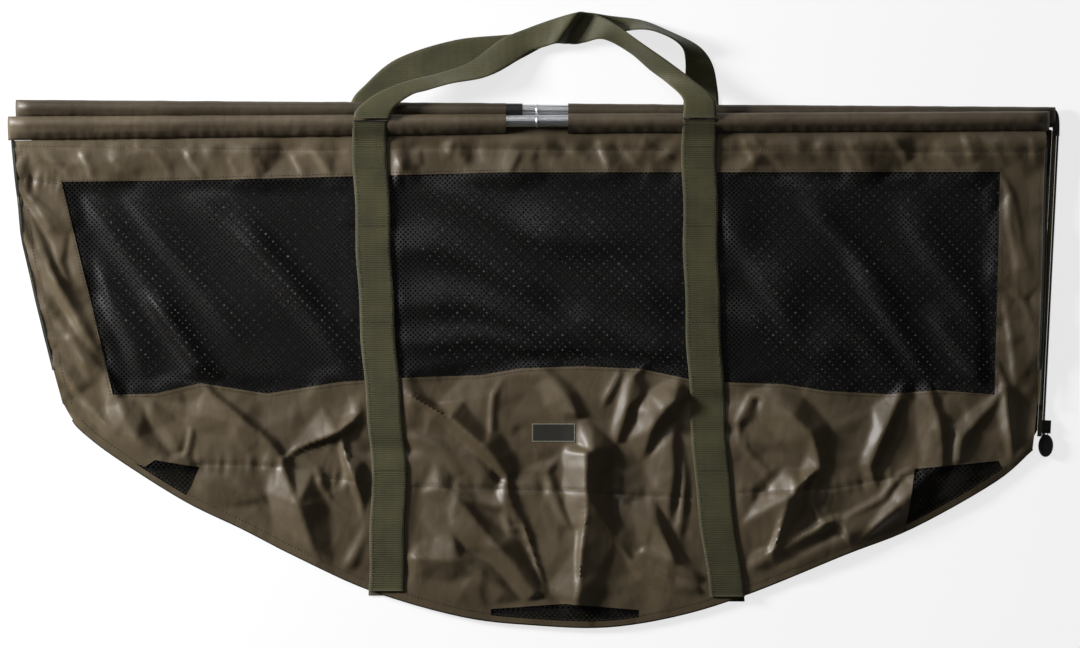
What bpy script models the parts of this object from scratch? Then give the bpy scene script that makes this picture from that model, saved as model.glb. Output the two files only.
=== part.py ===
"""Weigh sling for landing and weighing fish, laid flat on the floor with its two poles together.

Units are metres. +X runs along the poles to the right, +Y from the belly of the sling to its
handles, +Z up from the floor. The origin is on the floor under the middle of the whole sling.
"""
import math

import bmesh
import bpy
from mathutils import Matrix, Vector
from mathutils.geometry import tessellate_polygon

# Overall sizes
SLING_WIDTH = 1.202
BODY_DEPTH = 0.605
HANDLE_RISE = 0.1005

# Cloth, webbing and the gap that sewn pieces keep here
CLOTH = 0.002
LOFT = 0.006
SEAT_GAP = 0.0003
STRAP_WIDTH = 0.040
STRAP_THICK = 0.0016
HANDLE_THICK = 0.0016
HEM_WIDTH = 0.007
HEM_STAND = 0.0005
DRAIN_GAP = 0.0004

# Poles, their sleeves and their joints
POLE_RADIUS = 0.006
POLE_WALL = 0.001
SLEEVE_SLACK = 0.0012
SLEEVE_WALL = 0.0009
SLEEVE_END_FLAT_SHARE = 0.22
TAIL_RISE_SHARE = 0.17
REAR_TAIL = 0.015
FRONT_TAIL_LEFT = 0.019
FRONT_TAIL_RIGHT = 0.014
FERRULE_WALL = 0.0008
FERRULE_FLARE = 0.0007
FERRULE_FLARE_LENGTH = 0.003
FERRULE_LENGTH = 0.040
FERRULE_FIT = 0.0003
SPIGOT_LENGTH = 0.030
SPIGOT_SHOULDER = 0.004
SPIGOT_FIT = 0.0003
SPIGOT_CHAMFER = 0.0012
COLLAR_LENGTH = 0.019
COLLAR_WALL = 0.0008
PLUG_HEAD = 0.005
PLUG_STEM = 0.012
PLUG_FIT = 0.0003
POLE_PULL = 0.034

# Net windows
STRAND = 0.0055
NET_COLUMNS = 20
NET_ROWS = 4

# Zips
TAPE_WIDTH = 0.008
FRONT_TAPE_WIDTH = 0.004
TAPE_THICK = 0.001
COIL_RADIUS = 0.0013
SLIDER_LENGTH = 0.015
SLIDER_WIDTH = 0.010
SLIDER_PLATE = 0.0007
SLIDER_FIT = 0.0004
SLIDER_POST_LENGTH = 0.004
SLIDER_POST_WIDTH = 0.0024
SLIDER_COIL_OFFSET = 0.0032
BAIL_SPAN = 0.008
BAIL_WIDTH = 0.0016
BAIL_BAR = 0.0009
BAIL_WINDOW = 0.0018
PULL_WIRE = 0.001
PULL_NECK = 0.0086
PULL_LENGTH = 0.026
PULL_WIDTH = 0.017
PULL_THICK = 0.0024
PULL_RECESS = 0.0006
PULL_RIM = 0.003
STOP_LENGTH = 0.005
STOP_WIDTH = 0.0056
STOP_HEIGHT = 0.0036
STOP_DROP = 0.001

# Label patch
LABEL_THICK = 0.0006

# Places along the sling, as shares of its width from the left
FRONT_POLE_LIFT_SHARES = (0.716, 2.05)
HANDLE_STAND_SHARE = 4.94
FERRULE_MOUTH_SHARE = 0.504
SLEEVE_GAP_LEFT_SHARE = 0.473
SLEEVE_GAP_RIGHT_SHARE = 0.533
FRONT_SLEEVE_LEFT_SHARE = 0.0
FRONT_SLEEVE_RIGHT_SHARE = 0.989
REAR_SLEEVE_LEFT_SHARE = 0.007
REAR_SLEEVE_RIGHT_SHARE = 0.996
BORE_LEFT_SHARE = 0.021
BORE_RIGHT_SHARE = 0.973

# Places up the sling, as shares of its depth from the belly
REAR_POLE_SHARES = (0.985, 0.971)
FRONT_POLE_SHARES = (0.953, 0.962)
HINGE_SHARE = 0.423
REAR_SEAM_SHARE = 0.437
LABEL_SHARES = ((0.498, 0.352), (0.539, 0.387))

# Outlines, as shares of width and depth
BELLY_SHARES = (
    (0.058, 0.400), (0.068, 0.374), (0.101, 0.323), (0.167, 0.240), (0.222, 0.187), (0.274, 0.134),
    (0.345, 0.070), (0.431, 0.021), (0.500, 0.005), (0.570, 0.0012), (0.640, 0.024), (0.707, 0.066),
    (0.796, 0.138), (0.861, 0.189), (0.939, 0.276), (0.975, 0.337),
)
FRONT_LEFT_SHARES = (
    (0.052, 0.423), (0.045, 0.469), (0.026, 0.620), (0.013, 0.734), (0.004, 0.904), (0.001, 0.960),
)
FRONT_RIGHT_SHARES = ((0.982, 0.423), (0.9863, 0.620), (0.9905, 0.960))
REAR_LEFT_SHARES = ((0.064, 0.437), (0.014, 0.930))
REAR_RIGHT_SHARES = ((0.986, 0.374), (1.0, 0.941))
BAND_SHARES = ((0.0, 0.828), (0.051, 0.843), (0.200, 0.847), (0.468, 0.861), (0.943, 0.862), (1.0, 0.852))
WINDOW_LEFT_SHARES = ((0.100, 0.440), (0.051, 0.843))
WINDOW_RIGHT_SHARES = ((0.938, 0.440), (0.943, 0.862))
WINDOW_FOOT_SHARES = (
    (0.100, 0.441), (0.183, 0.463), (0.246, 0.443), (0.315, 0.465), (0.400, 0.474), (0.487, 0.491),
    (0.546, 0.495), (0.601, 0.490), (0.659, 0.466), (0.738, 0.461), (0.836, 0.442), (0.938, 0.441),
)
LEFT_DRAIN_SHARES = ((0.120, 0.292), (0.140, 0.318), (0.182, 0.304), (0.165, 0.226))
RIGHT_DRAIN_SHARES = ((0.862, 0.301), (0.942, 0.316), (0.950, 0.285), (0.852, 0.170))
FOOT_DRAIN_SHARES = ((0.459, 0.002), (0.459, 0.036), (0.600, 0.034), (0.600, -0.004))
LEFT_STRAP_SHARES = ((0.359, 0.060), (0.362, 0.304), (0.357, 0.423), (0.350, 0.620), (0.344, 0.905))
RIGHT_STRAP_SHARES = ((0.684, 0.060), (0.670, 0.270), (0.665, 0.423), (0.660, 0.620), (0.657, 0.905))

# Rows of the lower front panel from the hem to the fold line, and how high each stands
PANEL_ROW_SHARES = (0.0, 0.06, 0.12, 0.20, 0.28, 0.36, 0.66, 1.0)
PANEL_LIFT_SHARES = (0.0, 0.30, 0.58, 0.82, 0.95, 1.0, 1.0, 1.0)

# Handle edges: outer edge u, v and height, then inner edge u, v and height. The heights are
# shares of how high a handle stands where it crosses the poles.
REAR_HANDLE_SHARES = (
    (0.325, 0.981, 0.00, 0.361, 0.981, 0.00), (0.327, 1.000, 0.00, 0.363, 1.000, 0.00),
    (0.337, 1.023, 0.01, 0.375, 1.028, 0.01), (0.369, 1.076, 0.02, 0.411, 1.036, 0.02),
    (0.425, 1.112, 0.04, 0.455, 1.043, 0.02), (0.485, 1.125, 0.02, 0.489, 1.078, 0.00),
    (0.522, 1.149, 0.00, 0.518, 1.106, 0.00), (0.546, 1.164, 0.00, 0.541, 1.104, 0.00),
    (0.572, 1.158, 0.01, 0.565, 1.119, 0.04), (0.602, 1.149, 0.06, 0.600, 1.130, 0.62),
    (0.628, 1.129, 0.02, 0.622, 1.121, 0.70), (0.657, 1.100, 0.00, 0.639, 1.100, 0.52),
    (0.670, 1.066, 0.00, 0.644, 1.070, 0.16), (0.675, 1.017, 0.00, 0.643, 1.017, 0.02),
    (0.676, 0.977, 0.00, 0.642, 0.977, 0.00),
)
FRONT_HANDLE_SHARES = (
    (0.329, 0.960, 0.692, 0.363, 0.960, 0.692), (0.332, 0.979, 0.70, 0.368, 0.983, 0.70),
    (0.350, 1.008, 0.62, 0.384, 1.006, 0.66), (0.375, 1.030, 0.46, 0.399, 1.015, 0.66),
    (0.411, 1.049, 0.14, 0.422, 1.028, 0.70), (0.439, 1.070, 0.16, 0.454, 1.040, 0.56),
    (0.468, 1.112, 0.16, 0.481, 1.068, 0.30), (0.496, 1.134, 0.14, 0.501, 1.091, 0.16),
    (0.525, 1.155, 0.13, 0.527, 1.102, 0.12), (0.551, 1.166, 0.14, 0.549, 1.108, 0.18),
    (0.576, 1.142, 0.52, 0.566, 1.112, 0.34), (0.602, 1.104, 0.72, 0.591, 1.087, 0.20),
    (0.627, 1.070, 0.66, 0.610, 1.055, 0.14), (0.650, 1.036, 0.62, 0.627, 1.028, 0.44),
    (0.670, 1.000, 0.74, 0.641, 0.998, 0.74), (0.673, 0.963, 0.782, 0.641, 0.963, 0.782),
)

# Counts
ROUND_SIDES = 20
SLEEVE_SIDES = 18
BELLY_STEPS = 3
HANDLE_STEPS = 3
STRAP_STEPS = 2

# Heights worked out from the sizes above
SLEEVE_BORE_RADIUS = POLE_RADIUS + SLEEVE_SLACK
SLEEVE_RADIUS = SLEEVE_BORE_RADIUS + SLEEVE_WALL
FERRULE_RADIUS = POLE_RADIUS + FERRULE_WALL
HANDLE_STAND = SLEEVE_RADIUS * HANDLE_STAND_SHARE
REAR_UNDER = STRAP_THICK + SEAT_GAP
REAR_TOP = REAR_UNDER + CLOTH
FRONT_UNDER = REAR_TOP + LOFT
FRONT_TOP = FRONT_UNDER + CLOTH
FRONT_STRAP_UNDER = FRONT_TOP + SEAT_GAP
FRONT_STRAP_TOP = FRONT_STRAP_UNDER + STRAP_THICK
HINGE_HEIGHT = FRONT_STRAP_TOP + SEAT_GAP
REAR_POLE_HEIGHT = REAR_UNDER + SLEEVE_RADIUS
FRONT_POLE_LEFT_HEIGHT = REAR_POLE_HEIGHT + SLEEVE_RADIUS * FRONT_POLE_LIFT_SHARES[0]
FRONT_POLE_RIGHT_HEIGHT = REAR_POLE_HEIGHT + SLEEVE_RADIUS * FRONT_POLE_LIFT_SHARES[1]
MIDDLE_DEPTH = (BODY_DEPTH + HANDLE_RISE) / 2


def clear_scene():
    """Remove the objects that a new scene starts with."""
    for old in list(bpy.data.objects):
        bpy.data.objects.remove(old, do_unlink=True)


def material(name, colour, roughness, metallic=0.0):
    """A plain finish with the piece's own colour."""
    finish = bpy.data.materials.new(name)
    finish.use_nodes = True
    shader = finish.node_tree.nodes["Principled BSDF"]
    shader.inputs["Base Color"].default_value = (*colour, 1.0)
    shader.inputs["Roughness"].default_value = roughness
    shader.inputs["Metallic"].default_value = metallic
    return finish


def place(share):
    """The point on the floor at a share of the width and a share of the depth."""
    across, up = share
    return Vector(((across - 0.5) * SLING_WIDTH, up * BODY_DEPTH - MIDDLE_DEPTH))


def along(line, value, by=1):
    """Read a line of points at a value of one coordinate, straight between its points."""
    points = sorted(line, key=lambda point: point[by])
    first, last = points[0], points[-1]
    if value <= first[by]:
        first, last = points[0], points[1]
    elif value >= last[by]:
        first, last = points[-2], points[-1]
    else:
        for low, high in zip(points, points[1:]):
            if low[by] <= value <= high[by]:
                first, last = low, high
                break
    part = (value - first[by]) / (last[by] - first[by])
    other = 1 - by
    return first[other] + (last[other] - first[other]) * part


def smooth_line(points, steps):
    """Points on a smooth curve through the given ones."""
    rows = [Vector(point) for point in points]
    rows = [rows[0] * 2 - rows[1]] + rows + [rows[-1] * 2 - rows[-2]]
    curve = []
    for before, start, end, after in zip(rows, rows[1:], rows[2:], rows[3:]):
        for step in range(steps):
            t = step / steps
            curve.append(0.5 * (
                2 * start + (end - before) * t
                + (2 * before - 5 * start + 4 * end - after) * t ** 2
                + (3 * start - before - 3 * end + after) * t ** 3))
    curve.append(rows[-2])
    return curve


def finish_object(name, mesh_data, finish, parent=None, smooth=False):
    """Turn a bmesh into a named object with its faces pointing out."""
    bmesh.ops.recalc_face_normals(mesh_data, faces=mesh_data.faces)
    mesh = bpy.data.meshes.new(name)
    mesh_data.to_mesh(mesh)
    mesh_data.free()
    piece = bpy.data.objects.new(name, mesh)
    bpy.context.scene.collection.objects.link(piece)
    mesh.materials.append(finish)
    if smooth:
        mesh.shade_smooth()
        mesh.set_sharp_from_angle(angle=math.radians(40))
    if parent is not None:
        piece.parent = parent
    return piece


def flat_height(value):
    """A height that is the same all over."""
    return lambda point: value


def plate(name, finish, outline, low, high, holes=()):
    """A sheet of cloth or plastic with an outline, holes, and a height for each point."""
    loops = [list(outline)] + [list(hole) for hole in holes]
    points = [point for loop in loops for point in loop]
    fill = tessellate_polygon([[Vector((p[0], p[1], 0.0)) for p in loop] for loop in loops])
    data = bmesh.new()
    under = [data.verts.new((p[0], p[1], low(p))) for p in points]
    over = [data.verts.new((p[0], p[1], high(p))) for p in points]
    for a, b, c in fill:
        data.faces.new((over[a], over[b], over[c]))
        data.faces.new((under[c], under[b], under[a]))
    start = 0
    for loop in loops:
        for step in range(len(loop)):
            a = start + step
            b = start + (step + 1) % len(loop)
            data.faces.new((under[a], under[b], over[b], over[a]))
        start += len(loop)
    return finish_object(name, data, finish)


def sheet(name, finish, rows, thick):
    """A closed sheet from rows of points on its underside, with its thickness upward."""
    data = bmesh.new()
    under = [[data.verts.new(point) for point in row] for row in rows]
    over = [[data.verts.new(Vector(point) + Vector((0, 0, thick))) for point in row] for row in rows]
    count = len(rows[0])
    for low, high in zip(range(len(rows) - 1), range(1, len(rows))):
        for left in range(count - 1):
            right = left + 1
            data.faces.new((over[low][left], over[low][right], over[high][right], over[high][left]))
            data.faces.new((under[high][left], under[high][right], under[low][right], under[low][left]))
    rim = [(0, n) for n in range(count)] + [(n, count - 1) for n in range(1, len(rows))]
    rim += [(len(rows) - 1, n) for n in range(count - 2, -1, -1)]
    rim += [(n, 0) for n in range(len(rows) - 2, 0, -1)]
    for (r1, c1), (r2, c2) in zip(rim, rim[1:] + rim[:1]):
        data.faces.new((under[r1][c1], under[r2][c2], over[r2][c2], over[r1][c1]))
    return finish_object(name, data, finish, smooth=True)


def turned(name, finish, profile, parent, sides=ROUND_SIDES):
    """A piece turned about its own X axis from (x, radius) points of a closed profile."""
    data = bmesh.new()
    rings = []
    for x, radius in profile:
        if radius == 0:
            rings.append([data.verts.new((x, 0, 0))])
            continue
        ring = []
        for side in range(sides):
            turn = 2 * math.pi * side / sides
            ring.append(data.verts.new((x, radius * math.cos(turn), radius * math.sin(turn))))
        rings.append(ring)
    closed = profile[0][1] > 0 and profile[-1][1] > 0
    pairs = list(zip(rings, rings[1:]))
    if closed:
        pairs.append((rings[-1], rings[0]))
    for one, two in pairs:
        for side in range(sides):
            after = (side + 1) % sides
            if len(one) == 1:
                data.faces.new((one[0], two[side], two[after]))
            elif len(two) == 1:
                data.faces.new((one[side], two[0], one[after]))
            else:
                data.faces.new((one[side], two[side], two[after], one[after]))
    return finish_object(name, data, finish, parent, smooth=True)


def pole_point(shares, heights, across):
    """The middle of a pole at a share of the width."""
    up = shares[0] + (shares[1] - shares[0]) * across
    point = place((across, up))
    return Vector((point.x, point.y, heights[0] + (heights[1] - heights[0]) * across))


def pole_axis(name, shares, heights):
    """An empty at a pole's joint whose X axis lies along the pole."""
    axis = bpy.data.objects.new(name, None)
    bpy.context.scene.collection.objects.link(axis)
    run = (pole_point(shares, heights, 1) - pole_point(shares, heights, 0)).normalized()
    side = Vector((0, 0, 1)).cross(run).normalized()
    turn = Matrix((run, side, run.cross(side))).transposed().to_4x4()
    axis.matrix_world = Matrix.Translation(pole_point(shares, heights, FERRULE_MOUTH_SHARE)) @ turn
    axis.hide_render = True
    return axis


def from_mouth(across):
    """Distance along a pole from its joint to a share of the width."""
    return (across - FERRULE_MOUTH_SHARE) * SLING_WIDTH


def sleeve_ring(x, tail, flat):
    """The outer outline of a pole sleeve: round over the pole, with a sewn tail behind."""
    ring = []
    last_round = SLEEVE_SIDES - 4
    for step in range(last_round + 1):
        turn = -math.pi / 2 + 2 * math.pi * step / SLEEVE_SIDES
        ring.append((SLEEVE_RADIUS * math.cos(turn), SLEEVE_RADIUS * math.sin(turn)))
    ring.append((-tail, CLOTH - SLEEVE_RADIUS))
    ring.append((-tail, -SLEEVE_RADIUS))
    ring.append((-tail / 2, -SLEEVE_RADIUS))
    return [(x, y, (z + SLEEVE_RADIUS) * flat - SLEEVE_RADIUS) for y, z in ring]


def sleeve(name, finish, parent, open_x, bore_x, end_x, tails):
    """A cloth sleeve round half a pole, open at the joint and sewn flat at its outer end."""
    data = bmesh.new()
    middle = (open_x + bore_x) / 2
    flat_start = bore_x
    stations = [(open_x, 1.0), (middle, 1.0), (flat_start, 1.0)]
    for part in (0.35, 0.7, 1.0):
        flat = 1.0 + (SLEEVE_END_FLAT_SHARE - 1.0) * part
        stations.append((flat_start + (end_x - flat_start) * part, flat))
    outer = []
    for x, flat in stations:
        part = (x - open_x) / (end_x - open_x)
        tail = tails[0] + (tails[1] - tails[0]) * part
        outer.append([data.verts.new(point) for point in sleeve_ring(x, tail, flat)])
    reach = bore_x - (bore_x - open_x) * SLEEVE_WALL / abs(bore_x - open_x)
    inner = []
    for x in (open_x, reach):
        ring = []
        for step in range(SLEEVE_SIDES):
            turn = -math.pi / 2 + 2 * math.pi * step / SLEEVE_SIDES
            spot = (x, SLEEVE_BORE_RADIUS * math.cos(turn), SLEEVE_BORE_RADIUS * math.sin(turn))
            ring.append(data.verts.new(spot))
        inner.append(ring)
    skins = list(zip(outer, outer[1:])) + [(inner[0], inner[1]), (outer[0], inner[0])]
    for one, two in skins:
        for side in range(SLEEVE_SIDES):
            after = (side + 1) % SLEEVE_SIDES
            data.faces.new((one[side], two[side], two[after], one[after]))
    data.faces.new(outer[-1])
    data.faces.new(inner[-1])
    return finish_object(name, data, finish, parent, smooth=True)


def pole_set(side, axis, finishes, sleeve_ends, tails):
    """One pole of two halves: sleeves, tubes, plugs, the silver socket and its spigot."""
    cloth, paint, metal, plastic = finishes
    gap_left = from_mouth(SLEEVE_GAP_LEFT_SHARE)
    gap_right = from_mouth(SLEEVE_GAP_RIGHT_SHARE)
    bore_left = from_mouth(BORE_LEFT_SHARE)
    bore_right = from_mouth(BORE_RIGHT_SHARE)
    end_left = from_mouth(sleeve_ends[0])
    end_right = from_mouth(sleeve_ends[1])
    sleeve(side + "_sleeve_left", cloth, axis, gap_left, bore_left, end_left, (tails[1], tails[0]))
    sleeve(side + "_sleeve_right", cloth, axis, gap_right, bore_right, end_right, (tails[1], tails[2]))
    inside = POLE_RADIUS - POLE_WALL
    socket_bore = POLE_RADIUS + FERRULE_FIT
    left_tip = bore_left + SLEEVE_WALL + PLUG_FIT
    left_start = -SPIGOT_LENGTH - SPIGOT_SHOULDER
    right_tip = bore_right - SLEEVE_WALL - PLUG_FIT - POLE_PULL
    right_start = SPIGOT_SHOULDER + SEAT_GAP
    turned(side + "_pole_left", paint, [
        (left_tip + PLUG_HEAD + SEAT_GAP, POLE_RADIUS), (left_start, POLE_RADIUS),
        (left_start, inside), (left_tip + PLUG_HEAD + SEAT_GAP, inside)], axis)
    turned(side + "_pole_right", paint, [
        (right_start, POLE_RADIUS), (right_tip - PLUG_HEAD - SEAT_GAP, POLE_RADIUS),
        (right_tip - PLUG_HEAD - SEAT_GAP, inside), (right_start, inside)], axis)
    head = SLEEVE_BORE_RADIUS - PLUG_FIT
    stem = inside - PLUG_FIT
    for name, tip, inward in (("left", left_tip, 1), ("right", right_tip, -1)):
        turned(side + "_pole_plug_" + name, plastic, [
            (tip, 0), (tip, head - PLUG_FIT), (tip + inward * PLUG_FIT, head),
            (tip + inward * PLUG_HEAD, head), (tip + inward * PLUG_HEAD, stem),
            (tip + inward * (PLUG_HEAD + PLUG_STEM), stem), (tip + inward * (PLUG_HEAD + PLUG_STEM), 0)], axis)
    mouth_bore = POLE_RADIUS + SPIGOT_FIT
    turned(side + "_ferrule_socket", metal, [
        (-FERRULE_LENGTH, FERRULE_RADIUS), (-FERRULE_FLARE_LENGTH, FERRULE_RADIUS),
        (-FERRULE_FLARE_LENGTH / 2, FERRULE_RADIUS + FERRULE_FLARE), (0, FERRULE_RADIUS + FERRULE_FLARE),
        (0, mouth_bore), (-FERRULE_LENGTH, socket_bore)], axis)
    collar_start = SEAT_GAP
    turned(side + "_ferrule_spigot", metal, [
        (-SPIGOT_LENGTH, 0), (-SPIGOT_LENGTH, POLE_RADIUS - SPIGOT_CHAMFER),
        (-SPIGOT_LENGTH + SPIGOT_CHAMFER, POLE_RADIUS), (collar_start, POLE_RADIUS),
        (collar_start, FERRULE_RADIUS), (FERRULE_LENGTH, FERRULE_RADIUS),
        (FERRULE_LENGTH, socket_bore), (SPIGOT_SHOULDER, socket_bore), (SPIGOT_SHOULDER, 0)], axis)


def offset_line(line, distance):
    """Move a line of points sideways, to its left as it runs."""
    moved = []
    for index, point in enumerate(line):
        before = line[max(index - 1, 0)]
        after = line[min(index + 1, len(line) - 1)]
        run = (after - before).normalized()
        moved.append(point + Vector((-run.y, run.x)) * distance)
    return moved


def edge_points(shares, low, high, steps=4):
    """Points up a side edge between two shares of the depth."""
    points = []
    for step in range(steps + 1):
        up = low + (high - low) * step / steps
        points.append(place((along(shares, up), up)))
    return points


def shifted(points, distance):
    """The same points moved across the sling."""
    return [Vector((point.x + distance, point.y)) for point in points]


def band_edge(first, last, lower=0.0):
    """The seam between the top band and the window, between two shares of the width."""
    inner = [share for share in BAND_SHARES if first < share[0] < last]
    ends = [(first, along(BAND_SHARES, first, 0)), (last, along(BAND_SHARES, last, 0))]
    line = [ends[0]] + inner + [ends[1]]
    return [place(share) - Vector((0, lower)) for share in line]


def net_holes(corners):
    """Diamond gaps between crossing strands, filling a four-sided window."""
    foot_left, foot_right, head_right, head_left = corners
    wide = (foot_right - foot_left).length
    tall = (head_left - foot_left).length

    def spot(s, t):
        low = foot_left.lerp(foot_right, s)
        high = head_left.lerp(head_right, s)
        return low.lerp(high, t)

    rim_s = STRAND / wide
    rim_t = STRAND / tall
    cell_s = (1 - 2 * rim_s) / NET_COLUMNS
    cell_t = (1 - 2 * rim_t) / NET_ROWS
    reach_s = cell_s / 2 - STRAND / wide * 0.5
    reach_t = cell_t / 2 - STRAND / tall * 0.5
    middles = []
    for column in range(NET_COLUMNS):
        for row in range(NET_ROWS):
            middles.append((rim_s + cell_s * (column + 0.5), rim_t + cell_t * (row + 0.5)))
    for column in range(1, NET_COLUMNS):
        for row in range(1, NET_ROWS):
            middles.append((rim_s + cell_s * column, rim_t + cell_t * row))
    holes = []
    for s, t in middles:
        holes.append([spot(s - reach_s, t), spot(s, t - reach_t), spot(s + reach_s, t), spot(s, t + reach_t)])
    return holes


def belly_lines():
    """The belly's outer edge, and the inner edge of its hem."""
    outer = [place(point) for point in smooth_line(BELLY_SHARES, BELLY_STEPS)]
    inner = offset_line(outer, HEM_WIDTH)
    return outer, inner


def panel_rows(fold_left, fold_right):
    """Rows of the lower front panel's underside, from the hem up to the fold line."""
    outer, _ = belly_lines()
    foot = offset_line(outer, HEM_WIDTH + SEAT_GAP)
    fold_y = place((0, HINGE_SHARE)).y - SEAT_GAP
    first, last = foot[0].x, foot[-1].x
    rows = []
    for share, lift in zip(PANEL_ROW_SHARES, PANEL_LIFT_SHARES):
        row = []
        for point in foot:
            part = (point.x - first) / (last - first)
            top = Vector((fold_left + (fold_right - fold_left) * part, fold_y))
            spot = point.lerp(top, share)
            height = REAR_TOP + SEAT_GAP + (FRONT_UNDER - REAR_TOP - SEAT_GAP) * lift
            row.append(Vector((spot.x, spot.y, height)))
        rows.append(row)
    return rows


def row_point(row, x):
    """The point of a row at a place across the sling."""
    for one, two in zip(row, row[1:]):
        if one.x <= x <= two.x:
            return one.lerp(two, (x - one.x) / (two.x - one.x))
    return row[0] if x < row[0].x else row[-1]


def prism(name, outline, low, high):
    """A hidden cutter with straight sides."""
    cutter = plate(name, bpy.data.materials[0], outline, flat_height(low), flat_height(high))
    cutter.hide_render = True
    cutter.display_type = "WIRE"
    return cutter


def cut(piece, cutter, keep_inside=False):
    """Cut a piece by a cutter, or keep only what is inside it."""
    boolean = piece.modifiers.new("cut", "BOOLEAN")
    boolean.operation = "INTERSECT" if keep_inside else "DIFFERENCE"
    boolean.object = cutter
    boolean.solver = "EXACT"


def grown(outline, distance):
    """An outline moved outward from its middle by a distance."""
    middle = sum(outline, Vector((0, 0))) / len(outline)
    return [point + (point - middle).normalized() * distance for point in outline]


def strap_line(shares, first, last, steps):
    """Middle points of a strap between two shares of the depth."""
    line = []
    for step in range(steps + 1):
        up = first + (last - first) * step / steps
        line.append(place((along(shares, up), up)))
    return line


def lower_strap(name, finish, shares, rows):
    """The strap over the lower front panel, resting on each of the panel's rows."""
    strap_rows = []
    for row in rows:
        middle = row_point(row, place((along(shares, HINGE_SHARE / 2), 0)).x)
        up = (middle.y + MIDDLE_DEPTH) / BODY_DEPTH
        x = place((along(shares, up), 0)).x
        line = []
        for side in (-1, 0, 1):
            spot = row_point(row, x + side * STRAP_WIDTH / 2)
            line.append(Vector((spot.x, spot.y, row[0].z + CLOTH + SEAT_GAP)))
        strap_rows.append(line)
    return sheet(name, finish, strap_rows, STRAP_THICK)


def ribbon(name, finish, table, rest_height):
    """A twisting band of webbing between its two edges."""
    stations = []
    for u1, v1, h1, u2, v2, h2 in table:
        one, two = place((u1, v1)), place((u2, v2))
        stations.append((one.x, one.y, rest_height + h1 * HANDLE_STAND,
                         two.x, two.y, rest_height + h2 * HANDLE_STAND))
    lines = []
    for start in (0, 3):
        lines.append(smooth_line([station[start:start + 3] for station in stations], HANDLE_STEPS))
    data = bmesh.new()
    rings = []
    for index, (one, two) in enumerate(zip(*lines)):
        before = (lines[0][max(index - 1, 0)] + lines[1][max(index - 1, 0)]) / 2
        last = len(lines[0]) - 1
        after = (lines[0][min(index + 1, last)] + lines[1][min(index + 1, last)]) / 2
        one.z = max(one.z, rest_height)
        two.z = max(two.z, rest_height)
        across = (two - one).normalized()
        up = across.cross((after - before).normalized()).normalized() * HANDLE_THICK / 2
        rings.append([data.verts.new(one + up), data.verts.new(two + up),
                      data.verts.new(two - up), data.verts.new(one - up)])
    for one, two in zip(rings, rings[1:]):
        for side in range(4):
            after = (side + 1) % 4
            data.faces.new((one[side], two[side], two[after], one[after]))
    data.faces.new(rings[0])
    data.faces.new(rings[-1])
    return finish_object(name, data, finish, smooth=True)


def rear_cloth(cloth, net):
    """The rear half: top band, borders, net window and the panel under the belly."""
    low, high = flat_height(REAR_UNDER), flat_height(REAR_TOP)
    left_edge = lambda up: place((along(REAR_LEFT_SHARES, up), up)) + Vector((TAPE_WIDTH + SEAT_GAP, 0))
    right_edge = lambda up: place((along(REAR_RIGHT_SHARES, up), up)) - Vector((TAPE_WIDTH + SEAT_GAP, 0))
    left_band = along(BAND_SHARES, along(REAR_LEFT_SHARES, BAND_SHARES[0][1]), 0)
    right_band = BAND_SHARES[-1][1]
    window_left, window_right = WINDOW_LEFT_SHARES, WINDOW_RIGHT_SHARES
    tail_line = []
    for across in (0.030, 0.5, 0.985):
        point = pole_point(REAR_POLE_SHARES, (0, 0), across)
        tail_line.append(Vector((point.x, point.y - REAR_TAIL - SEAT_GAP)))
    band_low = [left_edge(left_band)] + band_edge(window_left[1][0], window_right[1][0]) + [right_edge(right_band)]
    plate("rear_top_band", cloth, band_low + tail_line[::-1], low, high)
    foot = REAR_SEAM_SHARE
    window_foot = [place((along(window_left, foot), foot)), place((along(window_right, foot), foot))]
    inner_left = Vector((SEAT_GAP, 0))
    plate("rear_left_border", cloth, [
        left_edge(foot), window_foot[0] - inner_left, place(window_left[1]) - inner_left - Vector((0, SEAT_GAP)),
        left_edge(left_band) - Vector((0, SEAT_GAP))], low, high)
    plate("rear_right_border", cloth, [
        window_foot[1] + inner_left, right_edge(foot), right_edge(right_band) - Vector((0, SEAT_GAP)),
        place(window_right[1]) + inner_left - Vector((0, SEAT_GAP))], low, high)
    head = band_edge(window_left[1][0], window_right[1][0], SEAT_GAP)
    corners = (window_foot[0], window_foot[1], head[-1], head[0])
    plate("rear_mesh_window", net, window_foot + head[::-1], low, high, net_holes(corners))
    outer, _ = belly_lines()
    belly = offset_line(outer, HEM_WIDTH + SEAT_GAP)
    top_y = window_foot[0].y - SEAT_GAP
    left_top = Vector((left_edge(foot).x, top_y))
    right_top = Vector((right_edge(foot).x, top_y))
    plate("rear_panel_lower", cloth, belly + [right_top, left_top], low, high)


def front_band_height(point, extra=0.0):
    """Underside of the front top band, which climbs from the window to the pole sleeve."""
    across = point[0] / SLING_WIDTH + 0.5
    up = (point[1] + MIDDLE_DEPTH) / BODY_DEPTH
    pole = pole_point(FRONT_POLE_SHARES, (FRONT_POLE_LEFT_HEIGHT, FRONT_POLE_RIGHT_HEIGHT), across)
    tail_top = (pole.y - front_tail(across) + MIDDLE_DEPTH) / BODY_DEPTH
    seam = along(BAND_SHARES, min(max(across, 0), 1), 0)
    part = min(max((up - seam) / (tail_top - seam), 0), 1)
    return FRONT_UNDER + (pole.z - SLEEVE_RADIUS - FRONT_UNDER) * part + extra


def front_tail(across):
    """How far the front sleeve's sewn tail reaches below the pole."""
    return FRONT_TAIL_LEFT + (FRONT_TAIL_RIGHT - FRONT_TAIL_LEFT) * min(max(across * 2, 0), 1)


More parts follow.
